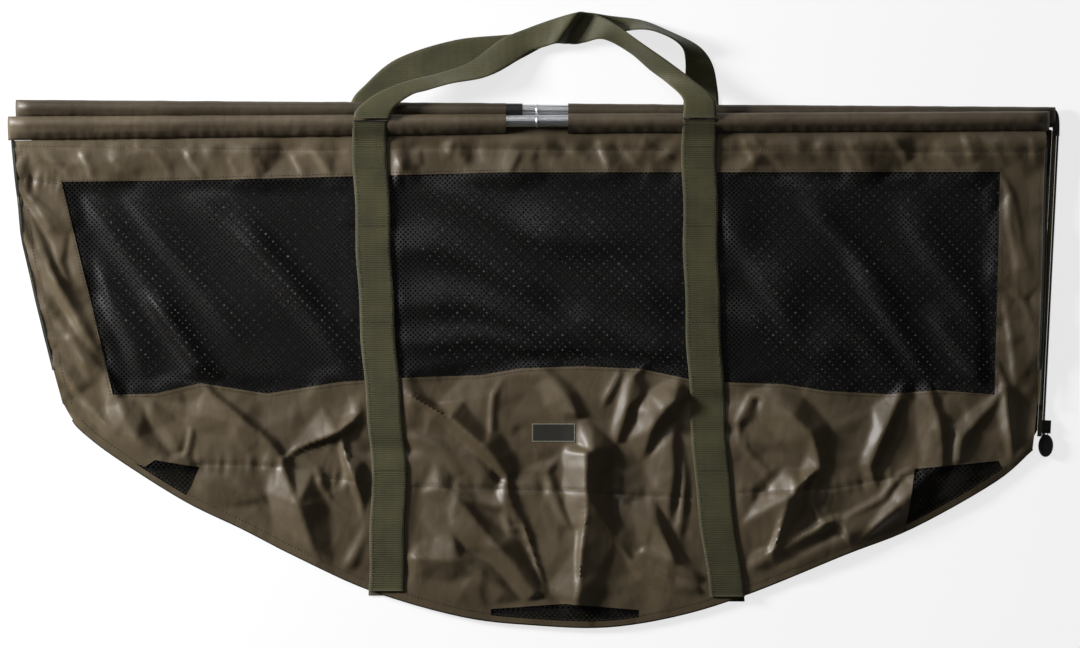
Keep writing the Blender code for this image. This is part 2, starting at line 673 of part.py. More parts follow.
def front_cloth(cloth, net):
    """The front half above the fold line: top band, borders, net window and the strip below it."""
    low, high = flat_height(FRONT_UNDER), flat_height(FRONT_TOP)
    seam = Vector((0, SEAT_GAP))
    fold = HINGE_SHARE
    inset = Vector((FRONT_TAPE_WIDTH + SEAT_GAP, 0))
    left_seam = along(BAND_SHARES, 0.008, 0)
    right_seam = along(BAND_SHARES, 0.990, 0)
    window_left, window_right = WINDOW_LEFT_SHARES, WINDOW_RIGHT_SHARES
    left_side = shifted(edge_points(FRONT_LEFT_SHARES, fold, left_seam), inset.x)
    right_side = shifted(edge_points(FRONT_RIGHT_SHARES, fold, right_seam), -inset.x)
    head = band_edge(window_left[1][0], window_right[1][0])
    tail_line = []
    for across in (0.012, 0.25, 0.5, 0.75, 0.978):
        point = pole_point(FRONT_POLE_SHARES, (0, 0), across)
        tail_line.append(Vector((point.x, point.y - front_tail(across) - SEAT_GAP)))
    band_low = [left_side[-1]] + head + [right_side[-1]]
    plate("front_top_band", cloth, band_low + tail_line[::-1],
          front_band_height, lambda point: front_band_height(point, CLOTH))
    gap = Vector((SEAT_GAP, 0))
    window_head = [point - seam for point in head]
    left_foot = place((along(window_left, fold), fold)) - gap
    right_foot = place((along(window_right, fold), fold)) + gap
    left_side = left_side[:-1] + [left_side[-1] - seam]
    right_side = right_side[:-1] + [right_side[-1] - seam]
    plate("front_left_border", cloth, left_side + [window_head[0] - gap, left_foot], low, high)
    plate("front_right_border", cloth, right_side + [window_head[-1] + gap, right_foot], low, high)
    foot = [place(share) for share in WINDOW_FOOT_SHARES]
    lowest = max(point.y for point in foot)
    flat_left = place((along(window_left, (lowest + MIDDLE_DEPTH) / BODY_DEPTH), 0))
    flat_right = place((along(window_right, (lowest + MIDDLE_DEPTH) / BODY_DEPTH), 0))
    corners = (Vector((flat_left.x, lowest)), Vector((flat_right.x, lowest)), window_head[-1], window_head[0])
    outline = [point + seam for point in foot] + window_head[::-1]
    plate("front_mesh_window", net, outline, low, high, net_holes(corners))
    strip = [Vector((left_foot.x, foot[0].y)) + gap * 2] + foot[1:-1] + [Vector((right_foot.x, foot[-1].y)) - gap * 2]
    base = [Vector((right_foot.x - 2 * SEAT_GAP, right_foot.y)), Vector((left_foot.x + 2 * SEAT_GAP, left_foot.y))]
    plate("front_panel_upper", cloth, strip + base, low, high)


def lower_front(cloth, net, webbing, label):
    """The front half below the fold line, with its drains, hem, straps and label."""
    fold_left = place((FRONT_LEFT_SHARES[0][0], 0)).x
    fold_right = place((FRONT_RIGHT_SHARES[0][0], 0)).x
    rows = panel_rows(fold_left, fold_right)
    panel = sheet("front_panel_lower", cloth, rows, CLOTH)
    drains = (
        ("drain_mesh_left", LEFT_DRAIN_SHARES), ("drain_mesh_right", RIGHT_DRAIN_SHARES),
        ("drain_mesh_bottom", FOOT_DRAIN_SHARES))
    for name, shares in drains:
        outline = [place(share) for share in shares]
        hole = prism(name + "_opening", grown(outline, DRAIN_GAP), 0, FRONT_TOP * 2)
        inside = prism(name + "_outline", outline, 0, FRONT_TOP * 2)
        cut(panel, hole)
        drain = sheet(name, net, rows, CLOTH)
        cut(drain, inside, keep_inside=True)
    outer, inner = belly_lines()
    hem_rows = [outer[1:], inner[1:]]
    hem_rows = [[Vector((point.x, point.y, REAR_UNDER)) for point in line] for line in hem_rows]
    hem_top = REAR_TOP + SEAT_GAP + CLOTH + HEM_STAND
    sheet("bottom_hem", cloth, hem_rows, hem_top - REAR_UNDER)
    lower_strap("front_strap_lower_left", webbing, LEFT_STRAP_SHARES, rows)
    lower_strap("front_strap_lower_right", webbing, RIGHT_STRAP_SHARES, rows)
    (left, low), (right, high) = LABEL_SHARES
    outline = [place((left, low)), place((right, low)), place((right, high)), place((left, high))]
    plate("label_patch", label, outline, flat_height(FRONT_STRAP_UNDER), flat_height(FRONT_STRAP_UNDER + LABEL_THICK))


def sleeve_height(point):
    """Height of the front pole's middle beside a point."""
    across = point[0] / SLING_WIDTH + 0.5
    return pole_point(FRONT_POLE_SHARES, (FRONT_POLE_LEFT_HEIGHT, FRONT_POLE_RIGHT_HEIGHT), across).z


def upper_strap(name, finish, shares):
    """A strap on the front flap, from the fold line up to the front of the pole sleeve."""
    rows = []
    stops = [HINGE_SHARE, along(BAND_SHARES, shares[2][0], 0) - SEAT_GAP / BODY_DEPTH]
    pole = pole_point(FRONT_POLE_SHARES, (0, 0), shares[-1][0])
    tail_end = pole.y - front_tail(shares[-1][0])
    stops.append((tail_end + MIDDLE_DEPTH) / BODY_DEPTH)
    stops.append((pole.y - SLEEVE_RADIUS - STRAP_THICK + MIDDLE_DEPTH) / BODY_DEPTH)
    for up in stops:
        middle = place((along(shares, up), up))
        line = []
        for side in (-1, 1):
            spot = Vector((middle.x + side * STRAP_WIDTH / 2, middle.y))
            height = front_band_height(spot) + CLOTH + 2 * SEAT_GAP
            if up == HINGE_SHARE:
                height = FRONT_STRAP_UNDER
            if up == stops[-1]:
                height = sleeve_height(spot) - SLEEVE_RADIUS * TAIL_RISE_SHARE + SEAT_GAP
            line.append(Vector((spot.x, spot.y, height)))
        rows.append(line)
    return sheet(name, finish, rows, STRAP_THICK)


def rear_strap(name, finish, shares):
    """A strap under the rear half, from the hem to the rear pole, on which the sling lies."""
    first = along([(u, v) for u, v in smooth_line(BELLY_SHARES, BELLY_STEPS)], shares[0][0], 0)
    pole = pole_point(REAR_POLE_SHARES, (0, 0), shares[-1][0])
    last = (pole.y - REAR_TAIL + MIDDLE_DEPTH) / BODY_DEPTH
    line = strap_line(shares, first, last, STRAP_STEPS)
    rows = []
    for middle in line:
        rows.append([Vector((middle.x + side * STRAP_WIDTH / 2, middle.y, 0)) for side in (-1, 1)])
    return sheet(name, finish, rows, STRAP_THICK)


def zip_side(side, tape_finish, coil_finish, metal, plastic):
    """The zip at one end: both tapes, both coils, the bottom stop, the slider and its pull."""
    rear = REAR_LEFT_SHARES if side == "left" else REAR_RIGHT_SHARES
    front = FRONT_LEFT_SHARES if side == "left" else FRONT_RIGHT_SHARES
    inward = 1 if side == "left" else -1
    foot, head = (0.455, 0.895) if side == "left" else (0.362, 0.940)
    for half, shares, width, under, low, high in (
            ("rear", rear, TAPE_WIDTH, REAR_UNDER, foot, head),
            ("front", front, FRONT_TAPE_WIDTH, FRONT_UNDER, HINGE_SHARE, along(BAND_SHARES, front[-1][0], 0))):
        outer = edge_points(shares, low, high)
        if half == "rear":
            outer = [outer[0], outer[-1]]
        tape_edge = shifted(outer, inward * (2 * COIL_RADIUS + SEAT_GAP))
        inner = shifted(outer, inward * width)
        middle_height = under + TAPE_THICK / 2
        plate(side + "_zip_tape_" + half, tape_finish, tape_edge + inner[::-1],
              flat_height(under), flat_height(under + TAPE_THICK))
        coil_line = shifted(outer, inward * COIL_RADIUS)
        data = bmesh.new()
        rings = []
        for index, point in enumerate(coil_line):
            ring = []
            for step in range(8):
                turn = 2 * math.pi * step / 8
                ring.append(data.verts.new((point.x + COIL_RADIUS * math.cos(turn), point.y,
                                            middle_height + COIL_RADIUS * math.sin(turn))))
            rings.append(ring)
        for one, two in zip(rings, rings[1:]):
            for step in range(8):
                after = (step + 1) % 8
                data.faces.new((one[step], two[step], two[after], one[after]))
        data.faces.new(rings[0])
        data.faces.new(rings[-1])
        finish_object(side + "_zip_coil_" + half, data, coil_finish, smooth=True)
    slider_parts(side, rear, foot, inward, metal, plastic)


def box(data, low, high):
    """Add a closed block to a bmesh."""
    corners = [(x, y, z) for z in (low[2], high[2]) for y in (low[1], high[1]) for x in (low[0], high[0])]
    v = [data.verts.new(corner) for corner in corners]
    for a, b, c, d in ((0, 2, 3, 1), (4, 5, 7, 6), (0, 1, 5, 4), (1, 3, 7, 5), (3, 2, 6, 7), (2, 0, 4, 6)):
        data.faces.new((v[a], v[b], v[c], v[d]))


def union_of(name, finish, blocks, parent):
    """One solid joined from overlapping blocks, each given as its outline or its two corners."""
    pieces = []
    for index, (low, high) in enumerate(blocks):
        data = bmesh.new()
        box(data, low, high)
        piece = finish_object(name if index == 0 else name + "_block", data, finish, parent)
        pieces.append(piece)
    for extra in pieces[1:]:
        join = pieces[0].modifiers.new("join", "BOOLEAN")
        join.operation = "UNION"
        join.object = extra
        join.solver = "EXACT"
        extra.hide_render = True
        extra.display_type = "WIRE"
    return pieces[0]


def slider_parts(side, rear, foot, inward, metal, plastic):
    """A zip slider round the rear coil at the lower end, its arched bail, pull and stop."""
    low_end = place((along(rear, foot), foot))
    top_end = place((along(rear, 0.9), 0.9))
    run = (top_end - low_end).normalized()
    axis = bpy.data.objects.new(side + "_zip_axis", None)
    bpy.context.scene.collection.objects.link(axis)
    middle_height = REAR_UNDER + TAPE_THICK / 2
    start = low_end + run * (SLIDER_LENGTH * 0.75)
    turn = math.atan2(-run.x, run.y)
    place_at = Vector((start.x + inward * COIL_RADIUS, start.y, middle_height))
    axis.matrix_world = Matrix.Translation(place_at) @ Matrix.Rotation(turn, 4, "Z")
    axis.hide_render = True
    half_gap = COIL_RADIUS + SLIDER_FIT
    centre = -inward * SLIDER_COIL_OFFSET
    left = centre - SLIDER_WIDTH / 2
    right = centre + SLIDER_WIDTH / 2
    half = SLIDER_LENGTH / 2
    top = half_gap + SLIDER_PLATE
    post_low = half - SLIDER_POST_LENGTH
    bar_low = top + BAIL_WINDOW
    sink = SLIDER_PLATE / 2
    union_of(side + "_zip_slider", metal, (
        ((left, -half, -top), (right, half, -half_gap)),
        ((left, -half, half_gap), (right, half, top)),
        ((centre - SLIDER_POST_WIDTH / 2, post_low, -half_gap - sink),
         (centre + SLIDER_POST_WIDTH / 2, half - sink, half_gap + sink)),
        ((centre - BAIL_WIDTH / 2, -BAIL_SPAN / 2, top - sink),
         (centre + BAIL_WIDTH / 2, -BAIL_SPAN / 2 + BAIL_BAR, bar_low + sink)),
        ((centre - BAIL_WIDTH / 2, BAIL_SPAN / 2 - BAIL_BAR, top - sink),
         (centre + BAIL_WIDTH / 2, BAIL_SPAN / 2, bar_low + sink)),
        ((centre - BAIL_WIDTH / 2, -BAIL_SPAN / 2, bar_low),
         (centre + BAIL_WIDTH / 2, BAIL_SPAN / 2, bar_low + BAIL_BAR))), axis)
    pull_tab(side, axis, centre, top + BAIL_WINDOW / 2, 1 if side == "left" else -1, plastic)
    data = bmesh.new()
    stop_top = -SLIDER_LENGTH * 0.75 - STOP_DROP
    box(data, (-STOP_WIDTH / 2, stop_top - STOP_LENGTH, -STOP_HEIGHT / 2), (STOP_WIDTH / 2, stop_top, STOP_HEIGHT / 2))
    finish_object(side + "_zip_stop", data, metal, axis)


def pull_tab(side, axis, centre, height, way, finish):
    """The moulded oval pull: a frame through the slider's bail and a tab with a raised rim."""
    hinge = bpy.data.objects.new(side + "_pull_axis", None)
    bpy.context.scene.collection.objects.link(hinge)
    hinge.parent = axis
    hinge.location = (centre, 0, height)
    hinge.hide_render = True
    data = bmesh.new()
    outer, inner = [], []
    count = 20
    long_half = PULL_LENGTH / 2
    middle = PULL_NECK + long_half
    for step in range(count):
        turn = 2 * math.pi * step / count
        x, y = math.cos(turn), math.sin(turn)
        outer.append(Vector((PULL_WIDTH / 2 * x, way * (middle + long_half * y))))
        inner.append(Vector(((PULL_WIDTH / 2 - PULL_RIM) * x, way * (middle + (long_half - PULL_RIM) * y))))
    levels = []
    for ring, z in ((outer, -PULL_THICK / 2), (outer, PULL_THICK / 2), (inner, PULL_THICK / 2),
                    (inner, PULL_THICK / 2 - PULL_RECESS)):
        levels.append([data.verts.new((point.x, point.y, z)) for point in ring])
    for one, two in zip(levels, levels[1:]):
        for step in range(count):
            after = (step + 1) % count
            data.faces.new((one[step], two[step], two[after], one[after]))
    data.faces.new(levels[0])
    data.faces.new(levels[-1])
    tab = finish_object(side + "_zip_pull", data, finish, hinge, smooth=True)
    arm = BAIL_WIDTH / 2 + SLIDER_FIT
    wire = PULL_WIRE / 2
    reach = PULL_NECK + PULL_RIM
    spans = (
        ((-arm - PULL_WIRE, -wire, -wire), (arm + PULL_WIRE, wire, wire)),
        ((-arm - PULL_WIRE, min(-wire, way * reach), -wire), (-arm, max(wire, way * reach), wire)),
        ((arm, min(-wire, way * reach), -wire), (arm + PULL_WIRE, max(wire, way * reach), wire)))
    for low, high in spans:
        extra = bmesh.new()
        box(extra, low, high)
        block = finish_object(side + "_pull_wire", extra, finish, hinge)
        block.hide_render = True
        block.display_type = "WIRE"
        join = tab.modifiers.new("join", "BOOLEAN")
        join.operation = "UNION"
        join.object = block
        join.solver = "EXACT"


def build():
    """Make every piece of the sling."""
    clear_scene()
    cloth = material("coated_nylon", (0.095, 0.078, 0.052), 0.42)
    net = material("black_net", (0.008, 0.008, 0.009), 0.7)
    webbing = material("olive_webbing", (0.058, 0.060, 0.030), 0.8)
    paint = material("dark_pole", (0.03, 0.03, 0.022), 0.35)
    metal = material("silver_ferrule", (0.75, 0.75, 0.76), 0.28, 1.0)
    plastic = material("black_plastic", (0.012, 0.012, 0.012), 0.45)
    tape = material("zip_tape", (0.05, 0.045, 0.025), 0.8)
    coil = material("zip_coil", (0.03, 0.028, 0.018), 0.5)
    dark_metal = material("dark_slider", (0.05, 0.05, 0.045), 0.4, 1.0)
    label = material("label_patch", (0.02, 0.02, 0.015), 0.6)
    rear_axis = pole_axis("rear_pole_axis", REAR_POLE_SHARES, (REAR_POLE_HEIGHT, REAR_POLE_HEIGHT))
    front_heights = (FRONT_POLE_LEFT_HEIGHT, FRONT_POLE_RIGHT_HEIGHT)
    front_axis = pole_axis("front_pole_axis", FRONT_POLE_SHARES, front_heights)
    finishes = (cloth, paint, metal, plastic)
    pole_set("rear", rear_axis, finishes, (REAR_SLEEVE_LEFT_SHARE, REAR_SLEEVE_RIGHT_SHARE),
             (REAR_TAIL, REAR_TAIL, REAR_TAIL))
    pole_set("front", front_axis, finishes, (FRONT_SLEEVE_LEFT_SHARE, FRONT_SLEEVE_RIGHT_SHARE),
             (FRONT_TAIL_LEFT, FRONT_TAIL_RIGHT, FRONT_TAIL_RIGHT))
    collar_bore = FERRULE_RADIUS + FERRULE_FIT
    collar_start = from_mouth(SLEEVE_GAP_LEFT_SHARE) + SEAT_GAP
    turned("rear_ferrule_collar", plastic, [
        (collar_start, collar_bore + COLLAR_WALL), (collar_start + COLLAR_LENGTH, collar_bore + COLLAR_WALL),
        (collar_start + COLLAR_LENGTH, collar_bore), (collar_start, collar_bore)], rear_axis)
    rear_cloth(cloth, net)
    front_cloth(cloth, net)
    lower_front(cloth, net, webbing, label)
    upper_strap("front_strap_upper_left", webbing, LEFT_STRAP_SHARES)
    upper_strap("front_strap_upper_right", webbing, RIGHT_STRAP_SHARES)
    rear_strap("rear_strap_left", webbing, LEFT_STRAP_SHARES)
    rear_strap("rear_strap_right", webbing, RIGHT_STRAP_SHARES)
    ribbon("rear_handle", webbing, REAR_HANDLE_SHARES, HANDLE_THICK / 2)
    ribbon("front_handle", webbing, FRONT_HANDLE_SHARES, HANDLE_THICK / 2)
    for side in ("left", "right"):
        zip_side(side, tape, coil, dark_metal, plastic)
    bpy.context.view_layer.update()


build()
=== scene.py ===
"""Looks of the weigh sling: its cloth, nets, webbing, sleeves, stitching, light and camera."""
import math

import bpy
import numpy as np
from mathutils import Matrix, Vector, noise
from mathutils.bvhtree import BVHTree
from mathutils.geometry import delaunay_2d_cdt


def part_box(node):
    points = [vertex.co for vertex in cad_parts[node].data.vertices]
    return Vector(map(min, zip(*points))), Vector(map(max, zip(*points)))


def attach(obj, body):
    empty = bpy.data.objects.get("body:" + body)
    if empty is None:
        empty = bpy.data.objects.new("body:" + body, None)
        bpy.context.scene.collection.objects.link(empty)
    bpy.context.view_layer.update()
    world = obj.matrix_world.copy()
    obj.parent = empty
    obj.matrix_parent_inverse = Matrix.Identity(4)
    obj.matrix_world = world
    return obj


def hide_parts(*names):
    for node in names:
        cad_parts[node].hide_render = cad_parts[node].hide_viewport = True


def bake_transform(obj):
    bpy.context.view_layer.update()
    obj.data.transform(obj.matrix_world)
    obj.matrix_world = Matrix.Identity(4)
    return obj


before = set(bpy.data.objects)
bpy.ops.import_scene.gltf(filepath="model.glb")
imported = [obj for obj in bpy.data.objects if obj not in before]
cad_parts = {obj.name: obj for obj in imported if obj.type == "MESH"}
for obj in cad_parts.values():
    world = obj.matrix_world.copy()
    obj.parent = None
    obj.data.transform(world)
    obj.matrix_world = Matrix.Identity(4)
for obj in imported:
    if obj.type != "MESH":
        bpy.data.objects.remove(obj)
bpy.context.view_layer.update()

# Metres: the sling's width, its depth from the belly's foot to the poles, and from that foot to the middle
WIDTH, DEPTH, MIDDLE = 1.202, 0.605, 0.35275
HEM, WEB_WIDE, WEB_THICK = 0.0066, 0.040, 0.0016
BASE, FLAP = "sling_base", "front_flap"
# Pixels of the photograph: its middle, the sling's left end and foot, and the sling's width and depth
PHOTO_MIDDLE = (540, 324)
LEFT_PIXEL, FOOT_PIXEL, WIDE_PIXELS, DEEP_PIXELS = 8, 628, 1052, 529
# Share of the depth where the front half folds, and of the width where the two sleeves leave the sockets bare
FOLD_SHARE, SOCKET_LEFT, SOCKET_RIGHT = 0.423, 0.4735, 0.5325

# Outlines, the same shares of width and depth as the part's own
BELLY = [(0.058, 0.400), (0.068, 0.374), (0.101, 0.323), (0.167, 0.240), (0.222, 0.187), (0.274, 0.134),
         (0.345, 0.070), (0.431, 0.021), (0.500, 0.005), (0.570, 0.0012), (0.640, 0.024), (0.707, 0.066),
         (0.796, 0.138), (0.861, 0.189), (0.939, 0.276), (0.975, 0.337)]
LEFT_EDGE = [(0.052, 0.423), (0.045, 0.469), (0.026, 0.620), (0.013, 0.734), (0.004, 0.904), (0.001, 0.960)]
RIGHT_EDGE = [(0.982, 0.423), (0.9863, 0.620), (0.9905, 0.960)]
BAND = [(0.0, 0.828), (0.051, 0.843), (0.200, 0.847), (0.468, 0.861), (0.943, 0.862), (1.0, 0.852)]
WINDOW = [(0.100, 0.441), (0.051, 0.843), (0.200, 0.847), (0.468, 0.861), (0.943, 0.862), (0.938, 0.441),
          (0.883, 0.450), (0.836, 0.442), (0.779, 0.448), (0.738, 0.461), (0.659, 0.466), (0.601, 0.490),
          (0.546, 0.495), (0.487, 0.491), (0.449, 0.478), (0.377, 0.473), (0.315, 0.465), (0.246, 0.443),
          (0.183, 0.463), (0.140, 0.443)]
REAR_WINDOW = [(0.101, 0.439), (0.938, 0.439), (0.943, 0.861), (0.052, 0.843)]
DRAINS = {
    "drain_mesh_left": [(0.120, 0.292), (0.140, 0.318), (0.182, 0.304), (0.165, 0.226)],
    "drain_mesh_right": [(0.862, 0.301), (0.942, 0.316), (0.950, 0.285), (0.852, 0.170)],
    "drain_mesh_bottom": [(0.459, 0.002), (0.459, 0.036), (0.530, 0.046), (0.600, 0.034), (0.600, -0.004)]}
STRAPS = {
    "left": [(0.359, 0.060), (0.362, 0.304), (0.357, 0.423), (0.350, 0.620), (0.344, 0.905)],
    "right": [(0.684, 0.060), (0.670, 0.270), (0.665, 0.423), (0.660, 0.620), (0.657, 0.905)]}
LABEL = ((0.498, 0.352), (0.539, 0.387))


def share(u, v):
    """A place on the floor from shares of the width and depth."""
    return ((u - 0.5) * WIDTH, v * DEPTH - MIDDLE)


def photo(px, py):
    """A place on the floor from a pixel of the photograph."""
    return share((px - LEFT_PIXEL) / WIDE_PIXELS, (FOOT_PIXEL - py) / DEEP_PIXELS)


def smooth_line(points, steps):
    """A smooth curve through points of any dimension."""
    rows = [np.array(p, float) for p in points]
    rows = [2 * rows[0] - rows[1]] + rows + [2 * rows[-1] - rows[-2]]
    out = []
    for a, b, c, d in zip(rows, rows[1:], rows[2:], rows[3:]):
        for i in range(steps):
            t = i / steps
            out.append(0.5 * (2 * b + (c - a) * t + (2 * a - 5 * b + 4 * c - d) * t * t
                              + (3 * b - a - 3 * c + d) * t ** 3))
    out.append(rows[-2])
    return np.array(out)


def offset(line, distance):
    """Move a line sideways, to its left as it runs."""
    run = np.gradient(line, axis=0)
    run /= np.linalg.norm(run, axis=1)[:, None]
    return line + np.stack([-run[:, 1], run[:, 0]], 1) * distance


belly_outer = np.array([share(*p) for p in smooth_line(BELLY, 6)])
belly_inner = offset(belly_outer, HEM)
band_x = np.array([share(*p)[0] for p in BAND])
band_y = np.array([share(*p)[1] for p in BAND])
fold_y = share(0, FOLD_SHARE)[1]


def pole_front(x):
    """Y and Z of the front pole's middle."""
    u = np.asarray(x) / WIDTH + 0.5
    return (0.953 + 0.009 * u) * DEPTH - MIDDLE, 0.0158 + 0.0108 * u


def pole_rear(x):
    """Y and Z of the rear pole's middle."""
    u = np.asarray(x) / WIDTH + 0.5
    return (0.985 - 0.014 * u) * DEPTH - MIDDLE, np.full_like(u, 0.010)


def tail_front(x):
    """How far the front sleeve's sewn tail reaches below the pole."""
    u = np.asarray(x) / WIDTH + 0.5
    return 0.019 - 0.005 * np.clip(2 * u, 0, 1)


def tail_rear(x):
    """How far the rear sleeve's sewn tail reaches below the pole."""
    return 0.015


def strap_middle(side, y):
    """X of a strap's middle at a height up the sling."""
    line = smooth_line([share(*p) for p in STRAPS[side]], 6)
    return np.interp(y, line[:, 1], line[:, 0])


# Folds of the front cloth: start and end in the photograph, width and height in mm. The side that
# the height's sign names is the steep one: plus to the right of the way it runs, minus to its left.
FOLDS = [
    (1006, 300, 1016, 380, 8, 2.4), (1004, 390, 1014, 446, 8, 2.4), (1008, 180, 1018, 290, 8, 2.0),
    (22, 190, 60, 240, 9, 2.6), (18, 220, 66, 300, 9, 2.4), (30, 250, 88, 340, 10, 2.6),
    (44, 300, 96, 380, 10, 2.4), (56, 360, 110, 430, 9, 2.4), (34, 156, 120, 172, 8, 1.4),
    (48, 152, 68, 176, 5, 1.3), (78, 152, 92, 176, 5, 1.4), (112, 156, 136, 174, 7, 1.6),
    (150, 150, 166, 172, 6, 1.0), (188, 152, 206, 176, 6, 2.0), (228, 158, 236, 174, 4, 0.8),
    (258, 158, 264, 172, 4, 0.9), (292, 152, 304, 174, 6, 1.7), (312, 148, 328, 174, 6, 1.9),
    (392, 150, 404, 170, 6, 1.5), (416, 150, 422, 166, 5, -1.2), (444, 146, 468, 168, 7, 1.6),
    (452, 140, 448, 160, 5, -1.2), (520, 150, 508, 172, 5, -1.2), (560, 138, 592, 166, 9, 1.6),
    (598, 140, 608, 170, 8, 2.4), (620, 142, 640, 168, 7, 1.6), (648, 146, 680, 160, 6, -1.4),
    (740, 142, 760, 164, 7, 1.6), (752, 142, 782, 164, 7, 1.7), (792, 148, 812, 160, 6, 1.3),
    (850, 144, 866, 166, 7, 1.2), (886, 136, 908, 158, 8, 2.2), (900, 150, 930, 164, 6, -1.2),
    (936, 148, 956, 166, 6, 1.4), (964, 134, 972, 160, 7, 2.0), (988, 140, 1006, 166, 7, 1.3),
    (1030, 140, 1034, 166, 5, 1.0)]
# Big ridges: the line of the crest in the photograph, then the reach of its two flanks in pixels,
# first the one to the right of the way it runs, which faces the window light, and its height in mm
RIDGES = [
    (((206, 386), (262, 432), (283, 458)), 26, 7, 4.5), (((283, 458), (300, 505), (318, 560)), 30, 20, 9.5),
    (((365, 410), (338, 434), (286, 456)), 30, 18, 6.5), (((341, 437), (352, 470), (362, 497)), 7, 18, 6.5),
    (((318, 470), (330, 502)), 6, 5, 2.5), (((262, 437), (230, 419), (192, 414)), 14, 18, 4.5),
    (((190, 428), (184, 456)), 6, 5, 2.5), (((196, 478), (262, 496)), 10, 8, 2.5),
    (((372, 530), (350, 562)), 12, 12, 3.5),
    (((402, 388), (452, 418), (484, 446), (507, 478)), 11, 22, 8.5),
    (((507, 478), (520, 520), (545, 592)), 8, 7, 3.0), (((404, 436), (440, 448), (500, 484)), 12, 10, 3.0),
    (((494, 394), (491, 430)), 4, 9, 2.8), (((548, 374), (566, 396), (577, 418)), 20, 10, 4.5),
    (((577, 418), (585, 450), (584, 490), (577, 600)), 24, 30, 12.5),
    (((456, 498), (500, 548), (535, 592)), 19, 20, 7.5),
    (((502, 592), (458, 560), (404, 556)), 12, 25, 5.5), (((545, 474), (556, 505)), 10, 8, 3.5),
    (((478, 503), (506, 508), (512, 530)), 8, 14, 3.0), (((618, 373), (603, 402)), 8, 5, 2.6),
    (((632, 376), (626, 410), (616, 440)), 13, 9, 4.8), (((692, 390), (668, 408), (651, 433)), 26, 17, 9.5),
    (((674, 440), (668, 500)), 19, 10, 5.5), (((683, 482), (680, 522)), 8, 10, 4.0),
    (((628, 506), (662, 532), (678, 562)), 24, 9, 5.5), (((702, 576), (672, 562), (643, 552)), 10, 12, 4.5),
    (((698, 588), (630, 563)), 6, 12, 3.5), (((752, 397), (736, 422)), 8, 9, 4.0),
    (((765, 398), (792, 414), (808, 430), (818, 464)), 26, 21, 8.5),
    (((818, 467), (800, 486), (788, 498), (770, 553)), 24, 24, 10.5),
    (((814, 486), (814, 505), (822, 518)), 4, 4, 2.2), (((842, 520), (826, 518), (772, 556)), 10, 16, 4.8),
    (((897, 397), (882, 430), (868, 466)), 14, 13, 6.8), (((930, 394), (940, 430), (943, 466)), 24, 9, 5.5),
    (((992, 406), (962, 440), (958, 462)), 12, 10, 4.0), (((1006, 384), (1010, 440)), 9, 12, 4.0),
    (((930, 476), (902, 504), (850, 546), (795, 572)), 14, 22, 6.0), (((902, 478), (882, 500)), 9, 8, 3.2),
    (((744, 448), (764, 470)), 8, 7, 2.0), (((104, 373), (62, 342)), 10, 14, 4.5),
    (((118, 400), (140, 440), (166, 463)), 22, 14, 7.0), (((150, 404), (176, 450)), 10, 8, 2.6),
    (((70, 402), (100, 420)), 6, 6, 2.0), (((40, 246), (84, 330)), 12, 10, 3.2),
    (((28, 196), (62, 262)), 9, 9, 3.0), (((1012, 196), (1022, 300)), 8, 8, 2.2)]
# Both kinds look lower from above than they are, so each height is raised by this
FOLD_RISE = 1.6
# A ridge's flanks end this low, and where two crests cross the sheet is this high, in metres
FLANK_FOOT, CROSSING = -0.001, 0.006
# Random facets: how far a corner strays, in shares of their spacing, and how far it keeps off a ridge
STRAY, KEEP_OFF = 0.42, 0.02
# Seams that draw the cloth in: start and end in the photograph
SEAMS = [
    (196, 463, 285, 466), (320, 476, 372, 484), (410, 486, 560, 490), (560, 490, 704, 498),
    (738, 492, 832, 488), (832, 488, 930, 470), (14, 178, 62, 184), (14, 146, 346, 150),
    (390, 148, 682, 150), (722, 150, 1050, 152)]


def along_line(x, y, px0, py0, px1, py1):
    """Distance to the left of a line between two pixels, share of the way along it, and its length."""
    (x0, y0), (x1, y1) = photo(px0, py0), photo(px1, py1)
    length = math.hypot(x1 - x0, y1 - y0)
    rx, ry = (x1 - x0) / length, (y1 - y0) / length
    t = ((x - x0) * rx + (y - y0) * ry) / length
    return -(x - x0) * ry + (y - y0) * rx, t, length


def wander(x, y, scale, layer):
    """Smooth noise between -1 and 1 at places on the floor."""
    return np.array([noise.noise((a * scale, b * scale, layer)) for a, b in zip(x, y)])


def staggered_grid(low, high, spacing):
    """Points in staggered rows over a rectangle."""
    gx, gy = np.meshgrid(np.arange(low[0], high[0], spacing), np.arange(low[1], high[1], spacing * 0.87))
    gx[1::2] += spacing / 2
    return np.stack([gx.ravel(), gy.ravel()], 1)


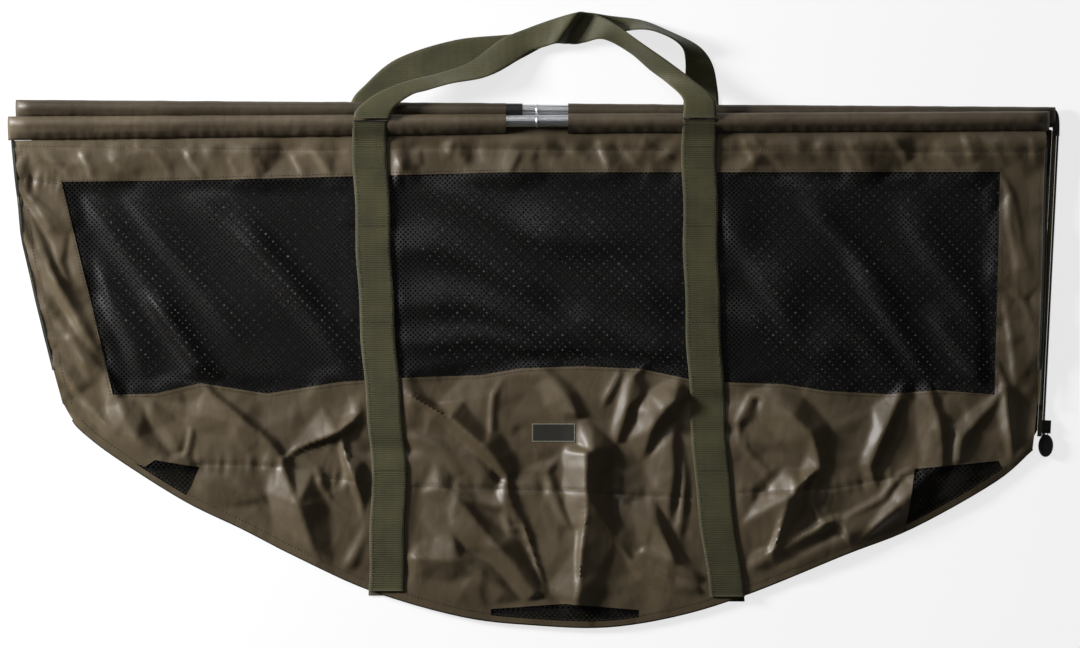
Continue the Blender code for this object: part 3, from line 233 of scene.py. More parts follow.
def crumple_sheet(spacing, high, seed, ridges=()):
    """A sheet of flat facets, as stiff coated cloth creases: random ones, and those of the given ridges."""
    spots, heights, creases = [], [], []
    for crest, sunny, shady, top in ridges:
        line = [Vector(photo(*p)) for p in crest]
        for i, place in enumerate(line):
            way = (line[min(i + 1, len(line) - 1)] - line[max(i - 1, 0)]).normalized()
            left = Vector((-way.y, way.x)) * WIDTH / WIDE_PIXELS
            part = 0.5 if i in (0, len(line) - 1) else 1
            if i:
                creases.append((len(spots) - 3, len(spots)))
            spots += [place, place + left * shady * (0.5 + part / 2), place - left * sunny * (0.5 + part / 2)]
            heights += [FOLD_RISE * top / 1000 * part, FLANK_FOOT, FLANK_FOOT]
    ridge_spots = spots[:]
    pick = np.random.default_rng(seed)
    for x, y in staggered_grid(share(-0.05, -0.05), share(1.05, 1.05), spacing):
        place = Vector((x + pick.uniform(-STRAY, STRAY) * spacing, y + pick.uniform(-STRAY, STRAY) * spacing))
        lift = pick.uniform(-1, 1) * high
        if all((place - spot).length > KEEP_OFF for spot in ridge_spots):
            spots.append(place)
            heights.append(lift)
    flat, _, faces, source, _, _ = delaunay_2d_cdt(spots, creases, [], 0, 1e-7)
    tops = [np.mean([heights[i] for i in ids]) if ids else CROSSING for ids in source]
    return BVHTree.FromPolygons([(p.x, p.y, float(h)) for p, h in zip(flat, tops)], faces)


# Facets of 48 mm with the ridges, and smaller ones of 22 mm over them
CRUMPLES = [crumple_sheet(0.048, 0.0060, 3, RIDGES), crumple_sheet(0.022, 0.0017, 8)]
# Three places round each point, 1.9 mm away, whose mean rounds the creases
ROUNDING = ((0.0019, 0), (-0.0010, 0.0017), (-0.0010, -0.0017))


def crumple(x, y):
    """Height of the crumples, rounded a little over each crease."""
    total = np.zeros_like(x)
    down = Vector((0, 0, -1))
    for sheet in CRUMPLES:
        for dx, dy in ROUNDING:
            for i, (a, b) in enumerate(zip(x, y)):
                hit = sheet.ray_cast(Vector((a + dx, b + dy, 1)), down)[0]
                total[i] += (hit.z if hit else 0) / len(ROUNDING)
    return total


def wrinkles(x, y):
    """Folds, puckers and crumples of the front cloth, in metres above its smooth shape."""
    total = crumple(x + wander(x, y, 16, 5.5) * 0.005, y + wander(x, y, 16, 6.6) * 0.005) - FLANK_FOOT
    warp_x, warp_y = wander(x, y, 22, 3.1) * 0.006, wander(x, y, 22, 9.7) * 0.006
    for *ends, wide, high in FOLDS:
        side, t, _ = along_line(x + warp_x, y + warp_y, *ends)
        side = -side * np.sign(high)
        w = wide / 1000
        # A tent with a steep and a gentle side, its ridge rounded
        tent = np.where(side > 0, 1 - side / (0.9 * w), 1 + side / (2.4 * w))
        near = np.sqrt(np.maximum(tent, 0) ** 2 + 0.0025) - 0.05
        fade = np.clip(np.minimum(t + 0.12, 1.12 - t) / 0.32, 0, 1)
        total += FOLD_RISE * abs(high) / 1000 * near * fade
    for ends in SEAMS:
        side, t, length = along_line(x, y, *ends)
        # Puckers within 10 mm of the seam, and a groove of 1.2 mm along it
        pull = np.exp(-(side / 0.010) ** 2) * np.sin(t * length / 0.0085 + 2.0 * np.sin(t * 21)) * 0.0009
        total += np.where((t > 0) & (t < 1), pull - 0.0012 * np.exp(-(side / 0.0022) ** 2), 0)
    return total


def smooth_step(value):
    """Ease from 0 to 1."""
    value = np.clip(value, 0, 1)
    return value * value * (3 - 2 * value)


# Humps and dips that each strap and the cloth under it share: row of the photograph, height in mm
STRAP_WAVE = {
    "left": ((140, 0), (222, 0.4), (227, -0.9), (240, 0.8), (318, 0.9), (324, -0.6), (372, -1.0),
             (380, 0.2), (428, 1.0), (438, 0.2), (451, -4.2), (459, 0.2), (500, 0), (556, 1.4),
             (572, -1.6), (590, 0)),
    "right": ((140, 0), (226, 0.8), (232, -0.6), (262, -0.8), (268, 0.4), (350, 1.0), (376, 0.8),
              (387, 0.2), (402, -5.0), (421, 0.8), (425, -0.4), (431, -3.2), (441, -0.4), (470, 0),
              (520, 1.4), (580, -1.2), (600, 0))}


def strap_waves(x, y):
    """Height in metres of both straps' humps and dips, gone 22 mm beside the webbing."""
    rows = FOOT_PIXEL - (y + MIDDLE) / DEPTH * DEEP_PIXELS
    total = np.zeros_like(x)
    for side, wave in STRAP_WAVE.items():
        places, heights = zip(*wave)
        # Mean of three rows, and mm to metres
        high = sum(np.interp(rows + shift, places, heights) for shift in (-2, 0, 2)) / 3000
        away = np.abs(x - strap_middle(side, y))
        total += high * (1 - smooth_step((away - WEB_WIDE / 2) / 0.022))
    return total


# Height of the front cloth at the hem, its rise to the flat middle, and how far below its pole the band ends
PANEL_FOOT, PANEL_RISE, UNDER_SLEEVE = 0.0070, 0.0039, 0.0071
# The lowest that a dip comes near the hem and elsewhere, clear of the rear half
LOWEST_AT_HEM, LOWEST = 0.0068, 0.0048


def front_base(x, y):
    """The front half's own shape without folds: domed belly, flat middle, band climbing to its sleeve."""
    foot = np.interp(x, belly_outer[:, 0], belly_outer[:, 1])
    t = np.clip((y - foot) / np.maximum(fold_y - foot, 0.02), 0, 1)
    lift = np.interp(t, [0, 0.06, 0.12, 0.20, 0.28, 0.36, 1], [0, 0.30, 0.58, 0.82, 0.95, 1, 1])
    z = PANEL_FOOT + PANEL_RISE * lift
    seam = np.interp(x, band_x, band_y)
    py, pz = pole_front(x)
    part = smooth_step((y - seam) / (py - tail_front(x) - seam))
    return z + (pz - UNDER_SLEEVE - PANEL_FOOT - PANEL_RISE) * part


def front_height(x, y):
    """Height of the front cloth with its folds, calmer under the straps and label and at its edges."""
    x, y = np.asarray(x, float), np.asarray(y, float)
    z = front_base(x, y)
    calm = np.ones_like(x)
    for side in STRAPS:
        away = np.abs(x - strap_middle(side, y))
        calm *= 1 - 0.94 * (1 - smooth_step((away - WEB_WIDE / 2) / 0.016))
    foot = np.interp(x, belly_outer[:, 0], belly_outer[:, 1])
    calm *= 0.25 + 0.75 * smooth_step((y - foot - 0.006) / 0.020)
    py, _ = pole_front(x)
    calm *= 0.2 + 0.8 * smooth_step((py - tail_front(x) - y) / 0.014)
    lx, ly = share((LABEL[0][0] + LABEL[1][0]) / 2, (LABEL[0][1] + LABEL[1][1]) / 2)
    calm *= 1 - 0.9 * (1 - smooth_step((np.maximum(np.abs(x - lx) / 2, np.abs(y - ly)) - 0.012) / 0.012))
    z = z + wrinkles(x, y) * calm + strap_waves(x, y)
    return np.maximum(z, np.where(y < foot + 0.012, LOWEST_AT_HEM, LOWEST))


def inside(points, loop):
    """Which points lie inside a closed outline."""
    loop = np.asarray(loop)
    x, y = points[:, 0], points[:, 1]
    hit = np.zeros(len(points), bool)
    for (x0, y0), (x1, y1) in zip(loop, np.roll(loop, -1, 0)):
        if y0 == y1:
            continue
        cross = (y0 > y) != (y1 > y)
        hit ^= cross & (x < (x1 - x0) * (y - y0) / (y1 - y0) + x0)
    return hit


def resample(loop, spacing):
    """Points evenly along a closed outline, with its corners kept."""
    out = []
    for a, b in zip(loop, list(loop[1:]) + [loop[0]]):
        a, b = np.array(a), np.array(b)
        count = max(1, int(round(np.linalg.norm(b - a) / spacing)))
        out += [tuple(a + (b - a) * i / count) for i in range(count)]
    return out


def new_object(name, verts, faces, body, finish, replaces=(), smooth=True):
    """A mesh object that rides on a body and stands for its nodes."""
    mesh = bpy.data.meshes.new(name)
    mesh.from_pydata([tuple(map(float, v)) for v in verts], [], [tuple(map(int, f)) for f in faces])
    mesh.validate()
    if smooth:
        mesh.shade_smooth()
    mesh.materials.append(finish)
    obj = bpy.data.objects.new(name, mesh)
    bpy.context.scene.collection.objects.link(obj)
    if body:
        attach(obj, body)
    if replaces:
        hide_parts(*replaces)
    return obj


def patch(outline, holes, spacing, height):
    """A sheet's points and triangles inside an outline and outside its holes."""
    loops = [resample(outline, spacing)] + [resample(hole, spacing) for hole in holes]
    points, edges = [], []
    for loop in loops:
        start = len(points)
        points += loop
        edges += [(start + i, start + (i + 1) % len(loop)) for i in range(len(loop))]
    rim = np.array(points)
    low, high = rim.min(0), rim.max(0)
    grid = staggered_grid(low, high, spacing)
    keep = inside(grid, loops[0])
    for loop in loops[1:]:
        keep &= ~inside(grid, loop)
    grid = grid[keep]
    # No grid point close to a rim point, compared 200 at a time to spare the memory
    clear = np.ones(len(grid), bool)
    for start in range(0, len(rim), 200):
        part = rim[start:start + 200]
        clear &= (np.linalg.norm(grid[:, None] - part[None], axis=2) > spacing * 0.55).all(1)
    points += [tuple(p) for p in grid[clear]]
    verts, _, faces, _, _, _ = delaunay_2d_cdt([Vector(p) for p in points], edges, [], 0, 1e-7)
    verts = np.array([(v.x, v.y) for v in verts])
    faces = np.array(faces)
    middle = verts[faces].mean(1)
    keep = inside(middle, loops[0])
    for loop in loops[1:]:
        keep &= ~inside(middle, loop)
    faces = faces[keep]
    z = height(verts[:, 0], verts[:, 1])
    return np.column_stack([verts, z]), faces


def solidify(obj, thick):
    """Give a sheet its thickness."""
    mod = obj.modifiers.new("thickness", "SOLIDIFY")
    mod.thickness = thick
    mod.offset = -1.0
    crisp = obj.modifiers.new("crisp rim", "EDGE_SPLIT")
    crisp.split_angle = math.radians(60)


def bend_at_fold(obj):
    """Bake a piece's placement into its mesh; it gets no bend at the fold."""
    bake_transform(obj)


# Materials
def linear(code):
    """Linear colour from an sRGB hex code."""
    parts = [int(code[i:i + 2], 16) / 255 for i in (1, 3, 5)]
    return tuple(p / 12.92 if p <= 0.04045 else ((p + 0.055) / 1.055) ** 2.4 for p in parts) + (1.0,)


def link(tree, target, sources):
    """Link sockets, or nodes by their Fac output or else their first one, into a node."""
    for key, source in sources.items():
        if isinstance(source, bpy.types.Node):
            source = source.outputs.get("Fac", source.outputs[0])
        tree.links.new(source, target.inputs[key])


def node(tree, kind, settings=None, links=None):
    """Add a shader node, with values for its sockets or attributes and links into its sockets."""
    made = tree.nodes.new("ShaderNode" + kind)
    for key, value in (settings or {}).items():
        if isinstance(key, str) and hasattr(made, key):
            setattr(made, key, value)
        else:
            made.inputs[key].default_value = value
    link(tree, made, links or {})
    return made


def start_material(name, **values):
    """A Principled material with plain values, its tree and its object coordinates."""
    mat = bpy.data.materials.new(name)
    mat.use_nodes = True
    tree = mat.node_tree
    shader = tree.nodes["Principled BSDF"]
    for key, value in values.items():
        shader.inputs[key.replace("_", " ")].default_value = value
    place = tree.nodes.new("ShaderNodeTexCoord").outputs["Object"]
    return mat, tree, shader, place


def two_tones(tree, shader, pattern, dark, light, low=0.3, high=0.7):
    """Colour a material from dark to light where a pattern runs from low to high."""
    spread = node(tree, "MapRange", {"From Min": low, "From Max": high}, {"Value": pattern})
    tint = node(tree, "Mix", {"data_type": "RGBA", 6: linear(dark), 7: linear(light)}, {0: spread})
    link(tree, shader, {"Base Color": tint.outputs[2]})


# A noise pattern of scale 1 has patches of about 1000 mm, and a wave pattern of scale 1 repeats every 314 mm
NOISE_MM, WAVE_MM = 1000, 314.16


def nylon(name, dark, light, rough=0.46):
    """Coated oxford nylon, woven, dyed and coated on its back: a plain weave under a soft plastic gloss."""
    mat, tree, shader, place = start_material(name, Roughness=rough, Coat_Weight=0.06, Coat_Roughness=0.30,
                                              Specular_IOR_Level=0.33)
    # Uneven dye in patches of 110 mm: keeps a large panel from looking painted in one colour
    dye = node(tree, "TexNoise", {"Scale": NOISE_MM / 110, "Detail": 4.0}, {"Vector": place})
    two_tones(tree, shader, dye, dark, light)
    # Sharp small creases, 17 mm apart, as a stiff coating keeps them after packing
    lie = node(tree, "Mapping", {"Scale": (1.0, 0.6, 0.3), "Rotation": (0, 0, 0.5)}, {"Vector": place})
    crease = node(tree, "TexVoronoi", {"feature": "DISTANCE_TO_EDGE", "Scale": NOISE_MM / 17},
                  {"Vector": lie})
    creased = node(tree, "Bump", {"Distance": 0.0035, "Strength": 0.16}, {"Height": crease})
    # Soft dents of 26 mm, coarser than the real ones so that they show here: they break the highlights
    dent = node(tree, "TexNoise", {"Scale": NOISE_MM / 26, "Detail": 3.0, "Distortion": 0.8},
                {"Vector": place})
    dented = node(tree, "Bump", {"Distance": 0.0010, "Strength": 0.3}, {"Height": dent, "Normal": creased})
    # Plain weave of 0.6 mm: gives the gloss its fine grain close by
    warp = node(tree, "TexWave", {"Scale": WAVE_MM / 0.6, "bands_direction": "X"}, {"Vector": place})
    weft = node(tree, "TexWave", {"Scale": WAVE_MM / 0.6, "bands_direction": "Y"}, {"Vector": place})
    weave = node(tree, "Math", {"operation": "MULTIPLY"}, {0: warp, 1: weft})
    woven = node(tree, "Bump", {"Distance": 0.0001, "Strength": 0.4}, {"Height": weave, "Normal": dented})
    link(tree, shader, {"Normal": woven})
    return mat


def webbing(name, dark, light, relief=0.7):
    """Polypropylene webbing, woven flat: tight ribs across its width and faint rows along it, almost matt."""
    mat, tree, shader, place = start_material(name, Roughness=0.62, Sheen_Weight=0.15, Specular_IOR_Level=0.3)
    # Ribs of 2.1 mm, the width of a pair of weft threads: the fine stripes across every strap
    ribs = node(tree, "TexWave", {"Scale": WAVE_MM / 2.1, "bands_direction": "Y", "Distortion": 0.4},
                {"Vector": place})
    # Rows of warp threads, 1.3 mm: a faint grain along the strap
    rows = node(tree, "TexWave", {"Scale": WAVE_MM / 1.3, "bands_direction": "X"}, {"Vector": place})
    # Wear in patches of 33 mm: the strap's tone wanders a little
    wear = node(tree, "TexNoise", {"Scale": NOISE_MM / 33, "Detail": 5.0}, {"Vector": place})
    mixed = node(tree, "Math", {"operation": "MULTIPLY_ADD", 1: 0.25}, {0: ribs, 2: wear})
    two_tones(tree, shader, mixed, dark, light, 0.35, 0.95)
    ribbed = node(tree, "Bump", {"Distance": 0.0005, "Strength": relief}, {"Height": ribs})
    rowed = node(tree, "Bump", {"Distance": 0.0003, "Strength": 0.4}, {"Height": rows, "Normal": ribbed})
    link(tree, shader, {"Normal": rowed})
    return mat


def thread(name, dark, light, rough, grain, gloss=0.5):
    """Polyester yarn, twisted, knitted or woven: its fibres break a dull gloss, in grains of so many mm."""
    mat, tree, shader, place = start_material(name, Roughness=rough, Specular_IOR_Level=gloss)
    fibre = node(tree, "TexNoise", {"Scale": NOISE_MM / grain, "Detail": 2.0}, {"Vector": place})
    two_tones(tree, shader, fibre, dark, light)
    rough_yarn = node(tree, "Bump", {"Distance": 0.0004, "Strength": 0.6}, {"Height": fibre})
    link(tree, shader, {"Normal": rough_yarn})
    return mat


def metal(name, colour, rough, scratch, relief=0.5):
    """Drawn metal tube or die-cast metal, polished: lengthwise lines that make the gloss run in streaks."""
    mat, tree, shader, place = start_material(name, Metallic=1.0)
    # Drawing lines 0.4 mm wide and 33 mm long
    lie = node(tree, "Mapping", {"Scale": (NOISE_MM / 33, NOISE_MM / 0.4, NOISE_MM / 0.4)},
               {"Vector": place})
    lines = node(tree, "TexNoise", {"Scale": 1.0, "Detail": 4.0}, {"Vector": lie})
    two_tones(tree, shader, lines, scratch, colour)
    dull = node(tree, "MapRange", {"To Min": rough * 0.7, "To Max": rough * 1.5}, {"Value": lines})
    scored = node(tree, "Bump", {"Distance": 0.0001, "Strength": relief}, {"Height": lines})
    link(tree, shader, {"Roughness": dull, "Normal": scored})
    return mat


def plastic(name, dark, light, rough):
    """Moulded plastic from a spark-eroded mould: its 0.7 mm grain softens the gloss."""
    mat, tree, shader, place = start_material(name, Roughness=rough)
    grain = node(tree, "TexNoise", {"Scale": NOISE_MM / 0.7, "Detail": 2.0}, {"Vector": place})
    two_tones(tree, shader, grain, dark, light)
    grained = node(tree, "Bump", {"Distance": 0.0002, "Strength": 0.5}, {"Height": grain})
    link(tree, shader, {"Normal": grained})
    return mat


cloth_mat = nylon("coated_nylon_look", "#423828", "#554A38")
# The rear cloth and all sleeves are the front cloth's coated nylon, in painted copies: the rear ones darker,
# painted shade for the half that lies underneath, and the front sleeves' one lighter, painted light on their
# dim lower slopes
rear_cloth_painted_shade_mat = nylon("rear_painted_shade_nylon_look", "#2E281D", "#3E3629")
sleeve_painted_light_mat = nylon("sleeve_painted_light_nylon_look", "#463C2E", "#5A4F3F", 0.5)
rear_sleeve_painted_shade_mat = nylon("rear_sleeve_painted_shade_nylon_look", "#362E22", "#463D2F", 0.5)
# Binding: near black, the cloth's shade colour, so that the tapes draw dark lines along the cloth's hem and
# side edges: painted shade
binding_painted_shade_mat = thread("binding_painted_shade_look", "#181712", "#2A2A1F", 0.6, 1.7)
net_mat = thread("net_look", "#060504", "#131110", 0.43, 1.4, 0.34)
drain_mat = thread("drain_net_look", "#030303", "#0A0909", 0.6, 1.4, 0.15)
strap_mat = webbing("webbing_look", "#2F2D15", "#494526")
handle_mat = webbing("handle_look", "#2F2E17", "#484427", 0.25)
stitch_mat = thread("stitch_look", "#1C1A12", "#35301F", 0.5, 0.7)
silver_mat = metal("ferrule_look", "#E6E7EA", 0.30, "#C2C4C7", 0.08)
pole_mat = metal("pole_look", "#3A3A2E", 0.35, "#23231B")
dark_metal_mat = metal("slider_look", "#55544C", 0.35, "#2C2C27")
plastic_mat = plastic("black_plastic_look", "#060606", "#121212", 0.42)
pull_mat = plastic("pull_look", "#070707", "#1C1C1C", 0.30)
tape_mat = thread("zip_tape_look", "#3A331F", "#5C5132", 0.7, 0.9)
coil_mat = thread("zip_coil_look", "#221F14", "#4A4430", 0.4, 2.0)
label_mat = thread("label_look", "#15140F", "#211F17", 0.55, 0.8)
label_rim_mat = thread("label_rim_look", "#5C5A4C", "#7A7868", 0.6, 0.8)


# Front cloth: one sheet from the belly's hem to the sleeve, across the fold line
def edge_line(shares, high, inset):
    """A side edge of the cloth from the fold up to a share of the depth, moved across by an inset."""
    rows = np.array([share(*p) for p in shares])
    ys = np.linspace(fold_y, share(0, high)[1], 24)
    return [(float(np.interp(y, rows[:, 1], rows[:, 0])) + inset, float(y)) for y in ys]


foot_line = [tuple(p) for p in offset(belly_outer, 0.0014)]
right_side = edge_line(RIGHT_EDGE, 0.925, -0.0042)
left_side = edge_line(LEFT_EDGE, 0.921, 0.0012)
# The top edge is sewn under the sleeve, and between the two sleeves it comes up to the silver socket
socket_gap = (share(SOCKET_RIGHT, 0)[0] - 0.0006, share(SOCKET_LEFT, 0)[0] + 0.0006)
top_line = []
for start, end, sewn in ((right_side[-1][0] - 0.001, socket_gap[0], True), (*socket_gap, False),
                         (socket_gap[1], left_side[-1][0] + 0.001, True)):
    for x in np.linspace(start, end, 30 if sewn else 8):
        below = tail_front(x) + 0.0004 if sewn else UNDER_SLEEVE
        top_line.append((float(x), float(pole_front(x)[0] - below)))
outline = foot_line + right_side + top_line + left_side[::-1]
window = [share(*p) for p in WINDOW]
# Each drain's outline is kept on the cloth, a little above the hem
drain_loops = [[(x, max(y, float(np.interp(x, belly_inner[:, 0], belly_inner[:, 1])) + 0.0007))
                for x, y in resample([share(*p) for p in loop], 0.012)] for loop in DRAINS.values()]
spacing = 0.0032
verts, faces = patch(outline, [window] + drain_loops, spacing, front_height)
front_cloth = new_object("front_cloth", verts, faces, None, cloth_mat,
                         ("front_panel_lower", "front_panel_upper", "front_left_border", "front_right_border",
                          "front_top_band"))
solidify(front_cloth, 0.0006)


def net(name, loop, pitch, strand, height, body, replaced, finish=net_mat):
    """A knitted net: a sheet of small diamond holes with narrow strands between them."""
    loop = [tuple(p) for p in loop]
    low, high = np.min(loop, 0), np.max(loop, 0)
    verts, faces, index = [], [], {}

    def spot(x, y):
        key = (round(x * 1e6), round(y * 1e6))
        if key not in index:
            index[key] = len(verts)
            verts.append((x, y))
        return index[key]

    half = pitch / 2
    inner = half - strand
    columns = int((high[0] - low[0]) / half) + 2
    rows = int((high[1] - low[1]) / half) + 2
    middles = np.array([(low[0] + i * half, low[1] + j * half)
                        for i in range(columns) for j in range(rows) if (i + j) % 2 == 0])
    for cx, cy in middles[inside(middles, loop)]:
        ring = [spot(cx + half, cy), spot(cx, cy + half), spot(cx - half, cy), spot(cx, cy - half)]
        hole = [spot(cx + inner, cy), spot(cx, cy + inner), spot(cx - inner, cy), spot(cx, cy - inner)]
        for k in range(4):
            faces.append((ring[k], ring[(k + 1) % 4], hole[(k + 1) % 4], hole[k]))
    flat = np.array(verts)
    z = height(flat[:, 0], flat[:, 1])
    obj = new_object(name, np.column_stack([flat, z]), faces, body, finish, replaced)


# Long soft folds that run down and to the right through both nets: start, end, width and height in mm, each
# raised as the cloth's are
NET_RISE = 2.6
NET_FOLDS = [
    (80, 190, 210, 385, 16, 2.6), (120, 180, 240, 330, 14, 2.2), (180, 178, 330, 330, 15, 2.4),
    (230, 220, 350, 378, 13, 2.2), (90, 260, 150, 385, 14, 2.2), (150, 300, 215, 392, 12, 2.2),
    (392, 240, 560, 300, 16, 3.2), (392, 290, 600, 350, 15, 3.0), (400, 330, 560, 360, 12, 2.2),
    (420, 190, 640, 260, 18, 2.4), (520, 210, 676, 330, 15, 2.6), (560, 300, 680, 372, 12, 2.6),
    (720, 200, 800, 330, 15, 2.6), (730, 300, 850, 372, 14, 2.8), (760, 260, 900, 380, 14, 2.8),
    (800, 200, 900, 300, 14, 2.2), (850, 260, 930, 380, 13, 2.4), (900, 200, 985, 330, 14, 2.4),
    (930, 300, 990, 385, 12, 2.0)]


def net_folds(x, y):
    """Folds of the net windows."""
    total = np.zeros_like(x)
    bend = 0.010 * np.sin(x * 31 + y * 17)
    for *ends, wide, high in NET_FOLDS:
        side, t, _ = along_line(x, y + bend, *ends)
        fade = smooth_step(np.minimum(t + 0.1, 1.1 - t) / 0.35)
        reach = np.where(side < 0, 0.8, 1.4) * (wide / 1000)
        total += NET_RISE * high / 1000 * np.exp(-(side / reach) ** 2) * fade
    return total


def net_height(low, share_of_folds, under_cloth):
    """Height of a net with its folds, and of its edge, sewn under the front cloth or laid flat."""
    loop = np.array(resample(window, 0.01))

    def height(x, y):
        sewn = front_height(x, y) - 0.0012 if under_cloth else np.full(len(x), low)
        edge = np.full(len(x), 1.0)
        for a, b in zip(loop, np.roll(loop, -1, 0)):
            run = b - a
            t = np.clip(((x - a[0]) * run[0] + (y - a[1]) * run[1]) / (run @ run), 0, 1)
            edge = np.minimum(edge, np.hypot(x - a[0] - t * run[0], y - a[1] - t * run[1]))
        within = smooth_step(edge / 0.022) * inside(np.column_stack([x, y]), window)
        calm = within
        for side in STRAPS:
            away = np.abs(x - strap_middle(side, y))
            calm = calm * (0.15 + 0.85 * smooth_step((away - 0.018) / 0.016))
        folds = (net_folds(x, y) + 0.0018 * wander(x, y, 14, 2.2)) * calm
        free = low + folds * share_of_folds + strap_waves(x, y) * share_of_folds
        return sewn + (free - sewn) * within

    return height


def grown(loop, distance):
    """A closed outline moved outward."""
    points = np.array(loop)
    after = np.roll(points, -1, 0)
    run = after - np.roll(points, 1, 0)
    run /= np.linalg.norm(run, axis=1)[:, None]
    turn = np.sign(np.sum(points[:, 0] * after[:, 1] - after[:, 0] * points[:, 1]))
    return points + np.stack([run[:, 1], -run[:, 0]], 1) * distance * turn


# The real mesh is finer: it is drawn coarser so that its holes show. Each net has a sewn edge of 4 to 5 mm
pitch = 0.0056
net("front_net", grown(window, 0.005), pitch, pitch * 0.22, net_height(0.0100, 1.0, True), FLAP,
    ("front_mesh_window",))
rear_window = [share(*p) for p in REAR_WINDOW]
net("rear_net", grown(rear_window, 0.004), 0.0086, 0.0027, net_height(0.0034, 0.35, False), BASE,
    ("rear_mesh_window",))
for key, loop in zip(DRAINS, drain_loops):
    net(key.replace("mesh", "net"), grown(loop, 0.0045), 0.0060, 0.0012,
        lambda x, y: front_height(x, y) - 0.0010, BASE, (key,), drain_mat)


# Rear cloth
def rear_height(x, y):
    """The rear cloth lies almost flat on its straps."""
    return 0.0036 + 0.0006 * wander(x, y, 12, 7.2)


# Up the right edge, along the sleeve and down the left edge, inside the zip tapes
TAPE_INSET = 0.0083
rear_top = [(float(x), float(pole_rear(x)[0] - 0.0154))
            for x in np.linspace(share(0.985, 0)[0], share(0.030, 0)[0], 12)]
rear_outline = [tuple(p) for p in belly_inner]
rear_outline += [(x - TAPE_INSET, y) for x, y in (share(0.986, 0.374), share(1.0, 0.941))]
rear_outline += rear_top + [(x + TAPE_INSET, y) for x, y in (share(0.014, 0.930), share(0.064, 0.437))]
verts, faces = patch(rear_outline, [rear_window], 0.012, rear_height)
# The rear cloth wears the darker copy of the nylon: painted shade
rear_cloth = new_object("rear_cloth", verts, faces, BASE, rear_cloth_painted_shade_mat,
                        ("rear_top_band", "rear_left_border", "rear_right_border", "rear_panel_lower"))
solidify(rear_cloth, 0.0008)
bend_at_fold(front_cloth)


# Webbing
def tube_faces(rings, size):
    """Quads between rings of so many points, one ring after the other."""
    return [(i * size + k, i * size + (k + 1) % size, (i + 1) * size + (k + 1) % size, (i + 1) * size + k)
            for i in range(rings - 1) for k in range(size)]


def band(name, lefts, rights, thick, body, finish, replaced, slot):
    """A flat band of webbing between two edge lines, with rounded selvedges."""
    lefts, rights = np.asarray(lefts), np.asarray(rights)
    across = rights - lefts
    run = np.gradient((lefts + rights) / 2, axis=0)
    up = np.cross(across, run)
    up /= np.linalg.norm(up, axis=1)[:, None]
    profile = [(0.0, 0.0), (0.02, 0.42), (0.10, 0.5), (0.3, 0.46), (0.5, 0.45), (0.7, 0.46), (0.90, 0.5),
               (0.98, 0.42), (1.0, 0.0)]
    ring = profile + [(t, -h) for t, h in profile[-2:0:-1]]
    verts = [a + ac * t + n * thick * h for a, ac, n in zip(lefts, across, up) for t, h in ring]
    size = len(ring)
    faces = tube_faces(len(lefts), size)
    faces.append(tuple(range(size)))
    faces.append(tuple(range(len(verts) - size, len(verts)))[::-1])
    return new_object(name, verts, faces, body, finish, replaced)


# How far a sleeve's seam lies below its pole's middle
SEAM_DROP = -0.0057


def sleeve_top(dy, reach):
    """Height of a sleeve's skin over its pole's middle: round over the pole, then down to its seam."""
    crest = (-0.0054, 0.0062)
    slope = crest[1] + (dy - crest[0]) / (-reach - crest[0]) * (SEAM_DROP - crest[1])
    round_top = np.sqrt(np.maximum(0.0085 ** 2 - dy ** 2, 0))
    return np.where(dy < -reach - 0.002, -1.0, np.where(dy < crest[0], slope + 0.0006, round_top))


def front_strap(side):
    """A strap sewn over the front half, from under the hem up to the sleeve."""
    middle_x = float(strap_middle(side, share(0, 0.06)[1]))
    foot = float(np.interp(middle_x, belly_outer[:, 0], belly_outer[:, 1]))
    top = float(pole_front(strap_middle(side, 0.2))[0]) + 0.0012
    ys = np.linspace(foot + 0.006, top, 150)
    xs = strap_middle(side, ys) + 0.0008 * np.sin(ys * 60)
    sides = []
    for part in (-0.5, 0.5):
        x = xs + part * WEB_WIDE
        z = WEB_THICK + np.maximum.reduce([front_height(xs + q * WEB_WIDE, ys) for q in (part, part / 2, 0)])
        py, pz = pole_front(x)
        z = np.maximum(z, pz + sleeve_top(ys - py, tail_front(x)) + 0.0009)
        z = np.convolve(np.pad(z, 2, "edge"), np.ones(5) / 5, "valid")
        sides.append(np.column_stack([x, ys, z]))
    nodes = ("front_strap_lower_" + side, "front_strap_upper_" + side)
    strap = band("strap_front_" + side, *sides, WEB_THICK, None, strap_mat, nodes, "olive_webbing")
    bend_at_fold(strap)
    return sides


strap_sides = {side: front_strap(side) for side in STRAPS}
for side in STRAPS:
    low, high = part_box("rear_strap_" + side)
    ys = np.linspace(low.y, high.y, 40)
    xs = strap_middle(side, ys)
    sides = [np.column_stack([xs + part * WEB_WIDE, ys, np.full(len(ys), 0.0009)]) for part in (-0.5, 0.5)]
    band("strap_rear_" + side, *sides, WEB_THICK, BASE, strap_mat, ("rear_strap_" + side,), "olive_webbing")

# The two edges of each handle from its left root to its right one: shares of the width and depth, then of the
# room above the floor
HANDLE_ROOM = 0.040
REAR_HANDLE = [
    (0.325, 0.981, 0.00, 0.361, 0.981, 0.00), (0.327, 1.000, 0.00, 0.363, 1.000, 0.00),
    (0.337, 1.023, 0.01, 0.375, 1.028, 0.01), (0.369, 1.076, 0.02, 0.411, 1.036, 0.02),
    (0.425, 1.112, 0.04, 0.455, 1.043, 0.02), (0.485, 1.125, 0.02, 0.489, 1.078, 0.00),
    (0.522, 1.149, 0.00, 0.518, 1.106, 0.00), (0.546, 1.164, 0.00, 0.541, 1.104, 0.00),
    (0.572, 1.158, 0.01, 0.565, 1.119, 0.04), (0.602, 1.149, 0.06, 0.600, 1.130, 0.62),
    (0.628, 1.129, 0.02, 0.622, 1.121, 0.70), (0.657, 1.100, 0.00, 0.639, 1.100, 0.52),
    (0.670, 1.066, 0.00, 0.644, 1.070, 0.16), (0.675, 1.017, 0.00, 0.643, 1.017, 0.02),
    (0.676, 0.983, 0.00, 0.642, 0.983, 0.00)]
